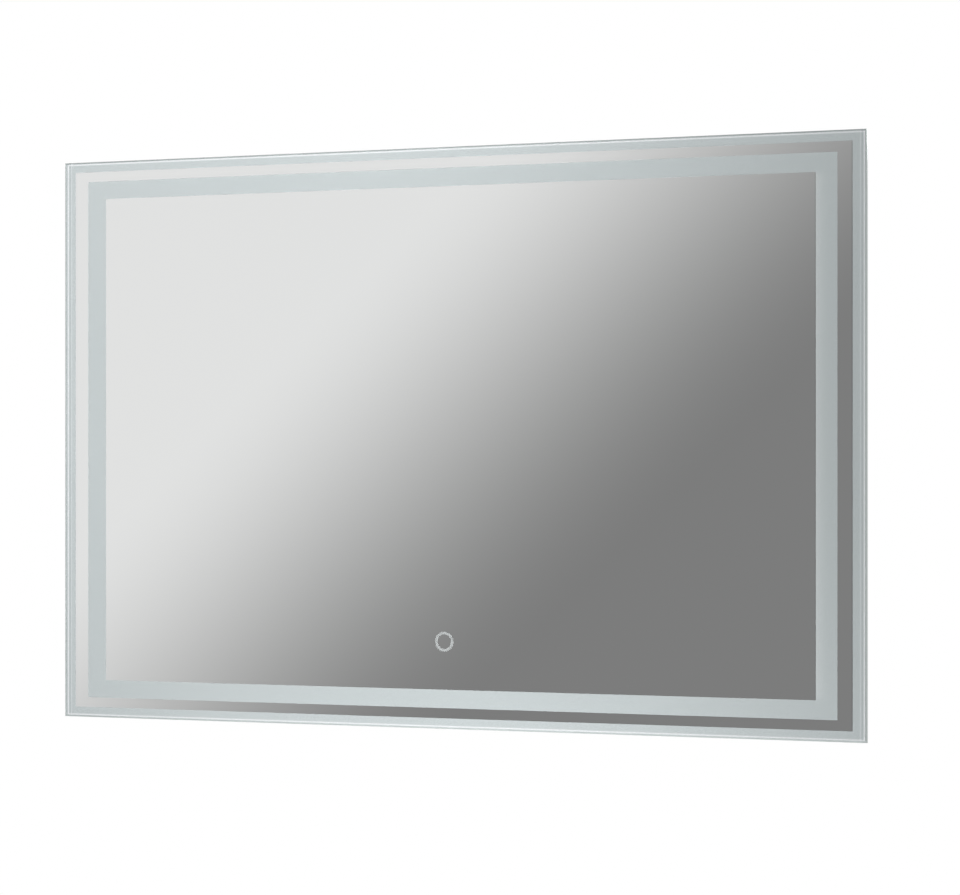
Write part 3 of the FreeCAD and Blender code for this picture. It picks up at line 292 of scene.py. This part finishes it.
def frosted_glass():
    """Sandblasted glass seen through its clear front: a fine pale speckle under a gloss, with a painted
    glow beside the field's right border and painted shade and highlight lines along the ground edge.
    """
    material, nodes, shader = new_material("frosted_glass")
    speckle = nodes.noise(0.0004, detail=3.0)
    clouds = nodes.noise(0.12, detail=2.0, seed=5.0)
    tone = nodes.blend(clouds, (0.516, 0.565, 0.571, 1), (0.541, 0.585, 0.592, 1))
    tone = nodes.blend(nodes.remap(speckle, 0.35, 0.65, 0.0, 0.06), tone, (0.8, 0.85, 0.85, 1))
    place = PanePlace(nodes)
    # Painted light: the frosted band is made paler towards the field's right border, as if lit by it
    distance, mask = place.right_border(field_line)
    painted_glow = nodes.remap(nodes.math("ABSOLUTE", distance), 0.0, painted_glow_reach, 1.0, 0.0)
    strength = nodes.math("MULTIPLY", mask, painted_glow_strength)
    painted_glow = nodes.math("MULTIPLY", nodes.math("MULTIPLY", painted_glow, painted_glow), strength)
    tone = nodes.blend(painted_glow, tone, (0.86, 0.88, 0.87, 1))
    behind = PanePlace(nodes, back_shift)
    # painted shade and highlight lines along the ground edge, shifted as the pane's back looks through
    # the glass
    for inset, strength, colour in painted_edge_lines:
        tone = nodes.blend(behind.line(behind.within(inset), line_width, strength), tone, colour)
    nodes.feed(shader.inputs["Base Color"], tone)
    nodes.feed(shader.inputs["Roughness"], nodes.remap(speckle, 0.3, 0.7, 0.22, 0.3))
    nodes.feed(shader.inputs["Normal"], nodes.bump(speckle, 0.00001, 0.2))
    shader.inputs["Metallic"].default_value = 0.35
    shader.inputs["Coat Weight"].default_value = 0.6
    shader.inputs["Coat Roughness"].default_value = 0.02
    return material


def ground_edge():
    """Ground and polished glass edge, greener than the face."""
    material, nodes, shader = new_material("ground_edge")
    streaks = nodes.noise(0.0012, (1, 1, 1), detail=4.0)
    tone = nodes.blend(streaks, (0.50, 0.56, 0.55, 1), (0.62, 0.67, 0.66, 1))
    nodes.feed(shader.inputs["Base Color"], tone)
    nodes.feed(shader.inputs["Roughness"], nodes.remap(streaks, 0.3, 0.7, 0.08, 0.2))
    nodes.feed(shader.inputs["Normal"], nodes.bump(streaks, 0.00001, 0.3))
    shader.inputs["Metallic"].default_value = 0.45
    shader.inputs["Coat Weight"].default_value = 0.5
    shader.inputs["Coat Roughness"].default_value = 0.05
    return material


# ---------------------------------------------------------------- mesh helpers


def mesh_object(name, builder, materials, smooth=False):
    """Object from a bmesh that builder fills. Its faces carry material numbers."""
    bm = bmesh.new()
    builder(bm)
    bmesh.ops.recalc_face_normals(bm, faces=bm.faces)
    for face in bm.faces:
        face.smooth = smooth
    mesh = bpy.data.meshes.new(name)
    bm.to_mesh(mesh)
    bm.free()
    piece = bpy.data.objects.new(name, mesh)
    for material in materials:
        mesh.materials.append(material)
    bpy.context.scene.collection.objects.link(piece)
    return piece


def close_loop(bm, points):
    """Vertices and edges of a closed loop."""
    corners = [bm.verts.new(point) for point in points]
    edges = [bm.edges.new((corners[index - 1], corners[index])) for index in range(len(corners))]
    return corners, edges


def pane_rectangle(inset, y):
    """Corners of the pane's outline drawn in by inset."""
    x = pane_half_width - inset[0]
    z = pane_half_height - inset[1]
    spots = [(-x, -z), (x, -z), (x, z), (-x, z)]
    return [Vector((u, y, pane_centre_z + v)) for u, v in spots]


def circle(x, z, y, radius, steps):
    points = []
    for step in range(steps):
        angle = 2 * math.pi * step / steps
        points.append(Vector((x + radius * math.cos(angle), y, z + radius * math.sin(angle))))
    return points


def band(bm, outer, inner, number):
    """Quads between two loops with the same count of corners."""
    for index in range(len(outer[0])):
        corners = (outer[0][index - 1], outer[0][index], inner[0][index], inner[0][index - 1])
        bm.faces.new(corners).material_index = number


def fill(bm, loops, number):
    """Flat face within the first loop, with the others as holes."""
    edges = [edge for loop in loops for edge in loop[1]]
    result = bmesh.ops.triangle_fill(bm, use_beauty=True, use_dissolve=False, edges=edges)
    for item in result["geom"]:
        if isinstance(item, bmesh.types.BMFace):
            item.material_index = number


# ---------------------------------------------------------------- the pane


def build_pane(bm):
    """One closed solid. Its front has a frosted margin, a mirror strip, a frosted band and the mirror
    field with the touch ring. Its back has the recesses that the sandblasting leaves."""
    edge, frost, mirror, back, mark = range(5)

    def rectangle(inset, y):
        return close_loop(bm, pane_rectangle(inset, y))

    def ring(radius, y):
        return close_loop(bm, circle(0, ring_z, y, radius, ring_steps))

    side_front = rectangle((0, 0), pane_front + front_arris)
    side_back = rectangle((0, 0), pane_back - back_arris)
    band(bm, side_front, side_back, edge)

    flat_front = rectangle((front_arris, front_arris), pane_front)
    band(bm, side_front, flat_front, edge)
    lines = (outer_band_line, strip_line, field_line)
    loops = [flat_front] + [rectangle(inset, pane_front) for inset in lines]
    for number, outer, inner in zip((frost, mirror, frost), loops, loops[1:]):
        band(bm, outer, inner, number)
    ring_outer = ring(ring_radius, pane_front)
    ring_inner = ring(ring_radius - ring_line, pane_front)
    fill(bm, [loops[-1], ring_outer], mirror)
    band(bm, ring_outer, ring_inner, mark)
    fill(bm, [ring_inner], mirror)

    flat_back = rectangle((back_arris, back_arris), pane_back)
    band(bm, side_back, flat_back, edge)
    blasted = pane_back - frost_depth
    outer = flat_back
    for start, end in ((rim_line, outer_band_line), (strip_line, field_line)):
        step_in = rectangle(start, pane_back)
        band(bm, outer, step_in, back)
        floor_start = rectangle(start, blasted)
        floor_end = rectangle(end, blasted)
        outer = rectangle(end, pane_back)
        band(bm, step_in, floor_start, frost)
        band(bm, floor_start, floor_end, frost)
        band(bm, floor_end, outer, frost)
    hole = ring(ring_radius, pane_back)
    floor_start = ring(ring_radius, blasted)
    floor_end = ring(ring_radius - ring_line, blasted)
    island = ring(ring_radius - ring_line, pane_back)
    fill(bm, [outer, hole], back)
    band(bm, hole, floor_start, frost)
    band(bm, floor_start, floor_end, frost)
    band(bm, floor_end, island, frost)
    fill(bm, [island], back)


def add_pane():
    edge = ground_edge()
    mark_colour = (0.33, 0.345, 0.345)
    mark = surface("touch_frost", mark_colour, 0.55, patch=0.005, tint=0.03, grain=0.0004, coat=0.3)
    piece = mesh_object("mirror_pane", build_pane, [edge, frosted_glass(), silvered_glass(), edge, mark])
    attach(piece, "mirror")
    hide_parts("glass_pane")


# ---------------------------------------------------------------- turned pieces, screws and leads


def solids(name):
    """(lowest corner, highest corner) of each separate solid of a CAD node."""
    bm = bmesh.new()
    bm.from_mesh(frame["nodes"][name].data)
    bmesh.ops.remove_doubles(bm, verts=bm.verts, dist=0.001 * MM)
    waiting = set(bm.verts)
    found = []
    while waiting:
        front = [waiting.pop()]
        points = []
        while front:
            corner = front.pop()
            points.append(corner.co.copy())
            near = {edge.other_vert(corner) for edge in corner.link_edges} & waiting
            waiting -= near
            front += near
        low = Vector([min(point[axis] for point in points) for axis in range(3)])
        high = Vector([max(point[axis] for point in points) for axis in range(3)])
        found.append((low, high))
    bm.free()
    return sorted(found, key=lambda ends: [round(value, 4) for value in ends[0]])


def turned(bm, profile, place, steps=32, closed=False, ribs=None):
    """Form turned round Z from (height, radius) pairs, then placed by a matrix. A closed profile is a
    loop. ribs is (count, depth, lowest height, highest height, least radius) of where they stand."""
    rows = []
    for height, radius in profile:
        if radius == 0:
            rows.append([bm.verts.new(place @ Vector((0, 0, height)))])
            continue
        row = []
        ribbed = ribs and ribs[2] <= height <= ribs[3] and radius > ribs[4]
        for step in range(steps):
            angle = 2 * math.pi * step / steps
            reach = radius
            if ribbed:
                count, depth = ribs[:2]
                reach -= depth * (0.5 + 0.5 * math.cos(count * angle)) ** 3
            spot = Vector((reach * math.cos(angle), reach * math.sin(angle), height))
            row.append(bm.verts.new(place @ spot))
        rows.append(row)
    pairs = list(zip(rows, rows[1:] + rows[:1])) if closed else list(zip(rows, rows[1:]))
    for near, far in pairs:
        for step in range(steps):
            corners = [near[step - 1], near[step]] if len(near) > 1 else [near[0]]
            corners += [far[step], far[step - 1]] if len(far) > 1 else [far[0]]
            bm.faces.new(corners)


def finish_piece(piece, node, sharp=35):
    """Smooth shading broken at sharp edges, and the piece's place in the frame."""
    piece.data.set_sharp_from_angle(angle=math.radians(sharp))
    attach(piece, "mirror")
    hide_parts(node)


def carve(piece, cutter):
    """Cuts one object's shape out of another, and drops the cutter."""
    modifier = piece.modifiers.new("carve", "BOOLEAN")
    modifier.operation = "DIFFERENCE"
    modifier.solver = "EXACT"
    modifier.object = cutter
    graph = bpy.context.evaluated_depsgraph_get()
    carved = bpy.data.meshes.new_from_object(piece.evaluated_get(graph))
    piece.modifiers.clear()
    piece.data = carved
    bpy.data.objects.remove(cutter)


def screw_mesh(radius, head_radius, head, length):
    """Pan-head screw with a cross recess. It is driven along -Z and its head sits on Z = 0."""
    pitch = 0.35 * radius
    profile = [(head, 0), (head * 0.98, head_radius * 0.35), (head * 0.9, head_radius * 0.62)]
    profile += [(head * 0.72, head_radius * 0.85), (head * 0.42, head_radius * 0.98)]
    profile += [(head * 0.2, head_radius), (0, head_radius * 0.98), (0, radius * 0.8)]
    turn = -pitch
    while turn > 2.2 * radius - length:
        profile += [(turn, radius), (turn - pitch, radius * 0.8)]
        turn -= 2 * pitch
    profile.append((-length, 0))
    body = mesh_object("screw_body", lambda bm: turned(bm, profile, Matrix(), 24), [], smooth=True)

    def cross(bm):
        half, reach = 0.15 * head_radius, 0.6 * head_radius
        arm = [(half, half), (half, reach), (-half, reach), (-half, half)]
        corners = []
        for quarter in range(4):
            turn = Matrix.Rotation(quarter * math.pi / 2, 2)
            corners += [turn @ Vector(corner) for corner in arm[:3]]
        rows = []
        for height, scale in ((head * 1.2, 1.15), (head * 0.3, 0.55)):
            rows.append(close_loop(bm, [Vector((c.x * scale, c.y * scale, height)) for c in corners]))
        band(bm, rows[0], rows[1], 0)
        for row in rows:
            fill(bm, [row], 0)

    carve(body, mesh_object("screw_cross", cross, []))
    return body


def add_screws(node, shank_share, material):
    """One piece for a node's screws, each in its CAD solid's place with its head towards the wall."""
    spots = solids(node)
    low, high = spots[0]
    head_radius = (high.x - low.x) / 2
    radius = head_radius * shank_share
    head = 0.6 * head_radius
    unit = screw_mesh(radius, head_radius, head, high.y - low.y - head)

    def build(bm):
        for index, (low, high) in enumerate(spots):
            x, z = (low.x + high.x) / 2, (low.z + high.z) / 2
            turn = Matrix.Rotation(0.7 * index, 4, "Y") @ Matrix.Rotation(-math.pi / 2, 4, "X")
            start = len(bm.verts)
            bm.from_mesh(unit.data)
            bm.verts.ensure_lookup_table()
            place = Matrix.Translation((x, high.y - head, z)) @ turn
            bmesh.ops.transform(bm, matrix=place, verts=bm.verts[start:])

    piece = mesh_object(node + "_cross", build, [material], smooth=True)
    bpy.data.objects.remove(unit)
    finish_piece(piece, node)


def add_bumpers(material):
    """Two tapered rubber feet with rounded rims and a screw well."""

    def build(bm):
        for low, high in solids("wall_bumpers"):
            centre = Vector(((low.x + high.x) / 2, low.y, (low.z + high.z) / 2))
            place = Matrix.Translation(centre) @ Matrix.Rotation(-math.pi / 2, 4, "X")
            height = high.y - low.y
            foot = (high.x - low.x) / 2
            tip = foot - 2 * MM
            well = 3.5 * MM
            base = 3 * MM
            shank = 1.75 * MM
            profile = [(0, shank), (0, foot - 0.6 * MM), (0.2 * MM, foot - 0.2 * MM), (0.7 * MM, foot)]
            profile += [(1.8 * MM, foot - 0.2 * MM), (2.1 * MM, foot - 0.8 * MM)]
            profile += [(2.7 * MM, foot - 0.9 * MM), (3 * MM, foot - 0.5 * MM)]
            profile += [(height - 1.2 * MM, tip), (height - 0.4 * MM, tip - 0.35 * MM)]
            profile += [(height, tip - 1.2 * MM), (height, well + 0.5 * MM)]
            profile += [(height - 0.5 * MM, well), (base, well), (base, shank)]
            turned(bm, profile, place, 48, closed=True)

    piece = mesh_object("wall_bumpers_rubber", build, [material], smooth=True)
    finish_piece(piece, "wall_bumpers")


def add_dome_nut(material):
    """The gland's domed nut, ribbed for the fingers."""
    low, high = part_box("gland_dome_nut")
    centre = Vector((high.x, (low.y + high.y) / 2, (low.z + high.z) / 2))
    place = Matrix.Translation(centre) @ Matrix.Rotation(-math.pi / 2, 4, "Y")
    length = high.x - low.x
    outside = (high.z - low.z) / 2
    inside, mouth, wall = 7.5 * MM, 5.2 * MM, 1.6 * MM
    dome = 3.0 * MM
    profile = [(0, inside), (0, outside - 0.4 * MM), (0.4 * MM, outside)]
    rib_rows = 6
    first, last = 1.2 * MM, length - dome - 0.6 * MM
    profile += [(first + (last - first) * row / rib_rows, outside) for row in range(rib_rows + 1)]
    for step in range(9):
        angle = math.pi / 2 * step / 8
        reach = outside - dome * (1 - math.cos(angle))
        profile.append((length - dome + dome * math.sin(angle), reach))
    profile += [(length, mouth + 0.5 * MM), (length - 0.5 * MM, mouth)]
    profile += [(length - wall, mouth), (length - wall, inside)]
    ribs = (18, 0.7 * MM, first + 0.1 * MM, last - 0.1 * MM, inside + 0.1 * MM)

    def build(bm):
        turned(bm, profile, place, 144, closed=True, ribs=ribs)

    piece = mesh_object("gland_dome_nut_ribbed", build, [material], smooth=True)
    finish_piece(piece, "gland_dome_nut")


# Routes of the two leads behind the mirror, in millimetres: straight runs joined by tangent arcs
lead_bend_share = 0.45
lead_radius = 1.5 * MM
lead_routes = {
    "sensor_lead": [
        (54, -25.7, -91),
        (54, -25.7, -122),
        (51, -33.9, -162),
        (12.6, -33.9, -340),
        (9.6, -28.8, -380),
        (9.6, -28.8, -404.8),
    ],
    "feed_lead": [
        (-19.2, -28.8, -427),
        (-44, -28.8, -427),
        (-84, -33.9, -427),
        (-295, -33.9, -415),
        (-341, -27, -415),
        (-365, -27, -427),
        (-365, -27, -465),
    ],
}


def lead_path(route):
    """Points along a route, close together on its arcs."""
    stops = [Vector(stop) * MM for stop in route]
    path = [stops[0]]
    for before, corner, after in zip(stops, stops[1:], stops[2:]):
        back, onward = before - corner, after - corner
        reach = lead_bend_share * min(back.length, onward.length)
        back.normalize()
        onward.normalize()
        half = back.angle(onward) / 2
        middle = (back + onward).normalized()
        centre = corner + middle * (reach / math.cos(half))
        start, end = corner + back * reach - centre, corner + onward * reach - centre
        steps = max(3, math.ceil(start.angle(end) / math.radians(6)))
        path += [centre + start.slerp(end, step / steps) * start.length for step in range(steps + 1)]
    return path + [stops[-1]]


def add_lead(node, material, steps=20):
    """Round sheathed lead along its route."""
    path = lead_path(lead_routes[node])

    def build(bm):
        along = (path[1] - path[0]).normalized()
        across = along.orthogonal().normalized()
        rows = []
        for index, point in enumerate(path):
            before = path[max(index - 1, 0)]
            after = path[min(index + 1, len(path) - 1)]
            onward = (after - before).normalized()
            across = (along.rotation_difference(onward) @ across).normalized()
            along = onward
            side = along.cross(across)
            spots = []
            for step in range(steps):
                angle = 2 * math.pi * step / steps
                spots.append(point + (across * math.cos(angle) + side * math.sin(angle)) * lead_radius)
            rows.append(close_loop(bm, spots))
        for near, far in zip(rows, rows[1:]):
            band(bm, near, far, 0)
        bm.faces.new(rows[0][0])
        bm.faces.new(rows[-1][0])

    piece = mesh_object(node + "_round", build, [material], smooth=True)
    finish_piece(piece, node)


# ---------------------------------------------------------------- CAD nodes and their materials


def paint_nodes():
    """Gives every CAD node its own procedural material, and returns them by the record's slots."""
    along_x = (0.03, 1, 1)
    along_z = (1, 1, 0.03)
    aluminium = {"colour": (0.72, 0.73, 0.74), "roughness": 0.32, "metallic": 1.0, "grain": 0.0006}
    rail = surface("rail_aluminium", stretch=along_x, **aluminium)
    level = surface("frame_aluminium_level", stretch=along_x, **aluminium)
    upright = surface("frame_aluminium_upright", stretch=along_z, **aluminium)
    zinc = surface(
        "zinc_plate", (0.66, 0.68, 0.70), 0.36, 0.08, 1.0, patch=0.012, tint=0.09, grain=0.0009
    )
    bright = surface("screw_steel", (0.62, 0.62, 0.63), 0.28, 0.06, 1.0, patch=0.004, grain=0.0004)
    cast = surface(
        "die_cast", (0.5, 0.51, 0.52), 0.5, 0.08, 1.0, patch=0.01, grain=0.0007, grain_depth=0.00005
    )
    foam = surface(
        "foam_tape", (0.035, 0.035, 0.038), 0.85, 0.08, grain=0.0006, grain_depth=0.00012, specular=0.2
    )
    board = surface("white_solder_mask", (0.82, 0.82, 0.80), 0.4, 0.05, patch=0.02, grain=0.0004)
    package = surface("led_package", (0.86, 0.76, 0.42), 0.3, 0.05, patch=0.002, tint=0.12, grain=0.0003)
    sheath = surface("lead_sheath", (0.62, 0.62, 0.61), 0.5, 0.06, patch=0.02, grain=0.0006)
    link = surface("link_sheath", (0.16, 0.075, 0.035), 0.42, 0.05, patch=0.01, grain=0.0005)
    white = surface(
        "white_moulding", (0.74, 0.745, 0.73), 0.46, 0.06, patch=0.05, grain=0.0006, grain_depth=0.00004
    )
    rubber = surface(
        "black_rubber", (0.028, 0.028, 0.029), 0.66, 0.08, patch=0.01, tint=0.12, grain=0.0006
    )
    circuit = surface(
        "green_board", (0.03, 0.16, 0.085), 0.32, 0.06, patch=0.006, tint=0.15, grain=0.0005
    )
    ferrite = surface("ferrite", (0.05, 0.05, 0.055), 0.6, 0.08, patch=0.005, grain=0.0006)
    sleeve = surface("capacitor_sleeve", (0.03, 0.035, 0.07), 0.3, 0.05, patch=0.004, grain=0.0006)
    grey = surface("terminal_moulding", (0.5, 0.5, 0.48), 0.45, 0.05, patch=0.008, grain=0.0005)
    polyamide = surface("gland_polyamide", (0.09, 0.09, 0.095), 0.44, 0.06, patch=0.01, grain=0.0005)
    opal = surface("opal_plastic", (0.8, 0.81, 0.80), 0.4, 0.05, patch=0.01, grain=0.0005)
    brass = surface("brass_stamping", (0.7, 0.52, 0.22), 0.3, 0.08, 1.0, patch=0.004, grain=0.0005)
    natural = surface("natural_polyamide", (0.7, 0.69, 0.64), 0.42, 0.06, patch=0.006, grain=0.0005)
    paint = surface(
        "mirror_back_paint", (0.16, 0.185, 0.19), 0.55, 0.08, patch=0.12, tint=0.07, grain=0.0012
    )
    by_slot = {
        "aluminium": level,
        "zinc_steel": zinc,
        "steel": bright,
        "cast_zinc": cast,
        "foam_tape": foam,
        "led_board": board,
        "led_package": package,
        "lead_sheath": sheath,
        "link_sheath": link,
        "white_plastic": white,
        "black_rubber": rubber,
        "circuit_board": circuit,
        "ferrite": ferrite,
        "capacitor_sleeve": sleeve,
        "terminal_plastic": grey,
        "gland_plastic": polyamide,
        "opal_plastic": opal,
        "brass": brass,
        "clip_plastic": natural,
        "silver": paint,
        "glass": paint,
    }
    own = {"wall_rail": rail, "frame_left": upright, "frame_right": upright}
    slots = {entry["node"]: entry["material_slot"] for entry in frame["record"]["subparts"]}
    for name, node in frame["nodes"].items():
        material = own.get(name, by_slot[slots[name]])
        for place in node.material_slots:
            place.material = material
    return by_slot


# ---------------------------------------------------------------- floor, world and lamps

# What the mirror sees of the studio: levels as shares of white, and where the slanted fades lie
bright_side = 0.905
dark_side = 0.497
fade_start = -0.098
fade_end = 0.067
soft_share = 0.8  # of the smooth fade, over the even one
far_side = 0.76
rise_start = 0.27
rise_end = 0.68
ceiling = 0.24
ground = 0.42
left_wall = 0.46
right_wall = 0.72
floor_drop = 0.95  # below the pane
floor_half = 6.0
floor_lift = 0.5  # its own light, which keeps it pale to the camera
pool_near = 1.2
pool_far = 4.0
pool_bright = 0.46
pool_dim = 0.22
white_start = 2.0  # where the floor starts to fade into the white around
white_end = 4.5


def add_floor():
    """Pale floor, well below the hung mirror. To the camera it keeps the shadow and fades into the
    white around, and the glass mirrors it as a pool of light that dims outwards."""
    floor_z = pane_low.z - floor_drop
    material, nodes, shader = new_material("pale_floor")
    grain = nodes.noise(0.02, detail=5.0)
    tone = nodes.blend(grain, (0.80, 0.80, 0.79, 1), (0.84, 0.84, 0.83, 1))
    nodes.feed(shader.inputs["Base Color"], tone)
    shader.inputs["Roughness"].default_value = 0.8
    lift = nodes.add("ShaderNodeEmission")
    lift.inputs["Strength"].default_value = floor_lift
    lit = nodes.add("ShaderNodeAddShader")
    nodes.feed(lit.inputs[0], shader.outputs[0])
    nodes.feed(lit.inputs[1], lift.outputs[0])
    white = nodes.add("ShaderNodeEmission")
    white.inputs["Strength"].default_value = 1.0
    reach = nodes.add("ShaderNodeVectorMath", operation="LENGTH")
    nodes.feed(reach.inputs[0], nodes.add("ShaderNodeTexCoord").outputs["Object"])
    reach = reach.outputs["Value"]
    fade = nodes.remap(reach, white_start, white_end, 0.0, 1.0, smooth=True)
    seen = nodes.mix_shaders(fade, lit.outputs[0], white.outputs[0])
    mirrored = nodes.add("ShaderNodeEmission")
    pool = nodes.remap(reach, pool_near, pool_far, pool_bright, pool_dim, smooth=True)
    nodes.feed(mirrored.inputs["Strength"], pool)
    path = nodes.add("ShaderNodeLightPath")
    shown = nodes.mix_shaders(path.outputs["Is Glossy Ray"], shader.outputs[0], mirrored.outputs[0])
    shown = nodes.mix_shaders(path.outputs["Is Camera Ray"], shown, seen)
    nodes.feed(nodes.tree.nodes["Material Output"].inputs["Surface"], shown)

    def build(bm):
        half = floor_half
        corners = [(-half, -half), (half, -half), (half, half), (-half, half)]
        bm.faces.new([bm.verts.new((x, y, floor_z)) for x, y in corners])

    mesh_object("floor", build, [material])


def add_world():
    """White all round for the camera, an even soft light, and in reflections a studio that darkens
    to one side."""
    world = bpy.data.worlds.new("studio")
    bpy.context.scene.world = world
    world.use_nodes = True
    tree = world.node_tree
    tree.nodes.clear()
    nodes = Nodes(tree)
    way = nodes.add("ShaderNodeTexCoord").outputs["Generated"]

    def along(direction):
        node = nodes.add("ShaderNodeVectorMath", operation="DOT_PRODUCT")
        nodes.feed(node.inputs[0], way)
        node.inputs[1].default_value = direction
        return node.outputs["Value"]

    def cover(under, direction, start, end, grey):
        """The studio's level with a grey laid over it towards one direction."""
        share = nodes.remap(along(direction), start, end, 0.0, 1.0)
        return nodes.blend(share, under, (grey,) * 3 + (1,))

    # the bright side of the studio lies front left and high, the dark side right of it and lower, with
    # a soft slanted fade between them, and further round it grows lighter again
    ahead = (-math.sin(camera_yaw), -math.cos(camera_yaw), 0.0)
    slant = (math.cos(camera_yaw), -math.sin(camera_yaw), -1.0)
    depth = nodes.math("MAXIMUM", along(ahead), 0.05)
    ratio = nodes.math("DIVIDE", along(slant), depth)
    even_fade = nodes.remap(ratio, fade_start, fade_end, bright_side, dark_side)
    soft_fade = nodes.remap(ratio, fade_start, fade_end, bright_side, dark_side, smooth=True)
    soft_fade = nodes.math("MULTIPLY", soft_fade, soft_share)
    fade = nodes.math("ADD", soft_fade, nodes.math("MULTIPLY", even_fade, 1 - soft_share))
    rise = nodes.remap(ratio, rise_start, rise_end, 0.0, far_side - dark_side, smooth=True)
    level = nodes.math("POWER", nodes.math("ADD", fade, rise), 2.2)
    level = cover(level, (0, 0, 1), 0.2, 0.7, ceiling)
    level = cover(level, (0, 0, -1), 0.2, 0.7, ground)
    level = cover(level, (-1, 0, 0), 0.7, 0.95, left_wall)
    level = cover(level, (1, 0, 0), 0.7, 0.95, right_wall)

    path = nodes.add("ShaderNodeLightPath")
    even = nodes.add("ShaderNodeBackground")
    even.inputs["Color"].default_value = (0.98, 0.99, 1.0, 1)
    even.inputs["Strength"].default_value = 0.5
    white = nodes.add("ShaderNodeBackground")
    white.inputs["Color"].default_value = (1, 1, 1, 1)
    white.inputs["Strength"].default_value = 1.0
    studio = nodes.add("ShaderNodeBackground")
    nodes.feed(studio.inputs["Color"], level)
    studio.inputs["Strength"].default_value = 1.0

    plain = nodes.mix_shaders(path.outputs["Is Glossy Ray"], even.outputs[0], studio.outputs[0])
    clear = nodes.math("MAXIMUM", path.outputs["Is Camera Ray"], path.outputs["Is Transmission Ray"])
    shown = nodes.mix_shaders(clear, plain, white.outputs[0])
    nodes.feed(nodes.add("ShaderNodeOutputWorld").inputs[0], shown)


def add_lamp(name, place, target, width, height, watts, mirrored=True):
    data = bpy.data.lights.new(name, "AREA")
    data.shape = "RECTANGLE"
    data.size = width
    data.size_y = height
    data.energy = watts
    lamp = bpy.data.objects.new(name, data)
    lamp.location = place
    lamp.visible_glossy = mirrored
    lamp.rotation_euler = (Vector(target) - Vector(place)).to_track_quat("-Z", "Y").to_euler()
    bpy.context.scene.collection.objects.link(lamp)


def add_lamps():
    """A soft key, three small fills just off the pane's edges, and one large lamp for the back."""
    middle = (0, pane_front, pane_centre_z)
    add_lamp("key", (-2.2, -1.6, 0.9), middle, 1.6, 1.6, 5)
    top, bottom, left = pane_high.z, pane_low.z, pane_low.x
    near = pane_front - 0.5
    place, target = (-0.08, near, top + 0.3), (-0.08, pane_front, top)
    add_lamp("top_fill", place, target, 0.3, 0.12, 2.9, mirrored=False)
    place, target = (0.04, near, bottom - 0.3), (0.04, pane_front, bottom)
    add_lamp("low_fill", place, target, 0.5, 0.12, 4.4, mirrored=False)
    place, target = (left - 0.35, near, pane_centre_z), (left, pane_front, pane_centre_z)
    add_lamp("left_fill", place, target, 0.12, 0.3, 0.85, mirrored=False)
    add_lamp("back_fill", (0.8, 2.4, 0.9), (0, 0, pane_centre_z), 1.8, 1.2, 30)


# ---------------------------------------------------------------- the scene

bpy.context.scene.view_settings.view_transform = "Standard"
add_camera()
add_world()
add_lamps()
add_floor()
materials = paint_nodes()
add_pane()
add_screws("frame_screws", 0.5, materials["steel"])
add_screws("driver_box_screws", 0.5, materials["steel"])
add_screws("sensor_screws", 0.53, materials["steel"])
add_bumpers(materials["black_rubber"])
add_dome_nut(materials["gland_plastic"])
for lead_node in lead_routes:
    add_lead(lead_node, materials["lead_sheath"])
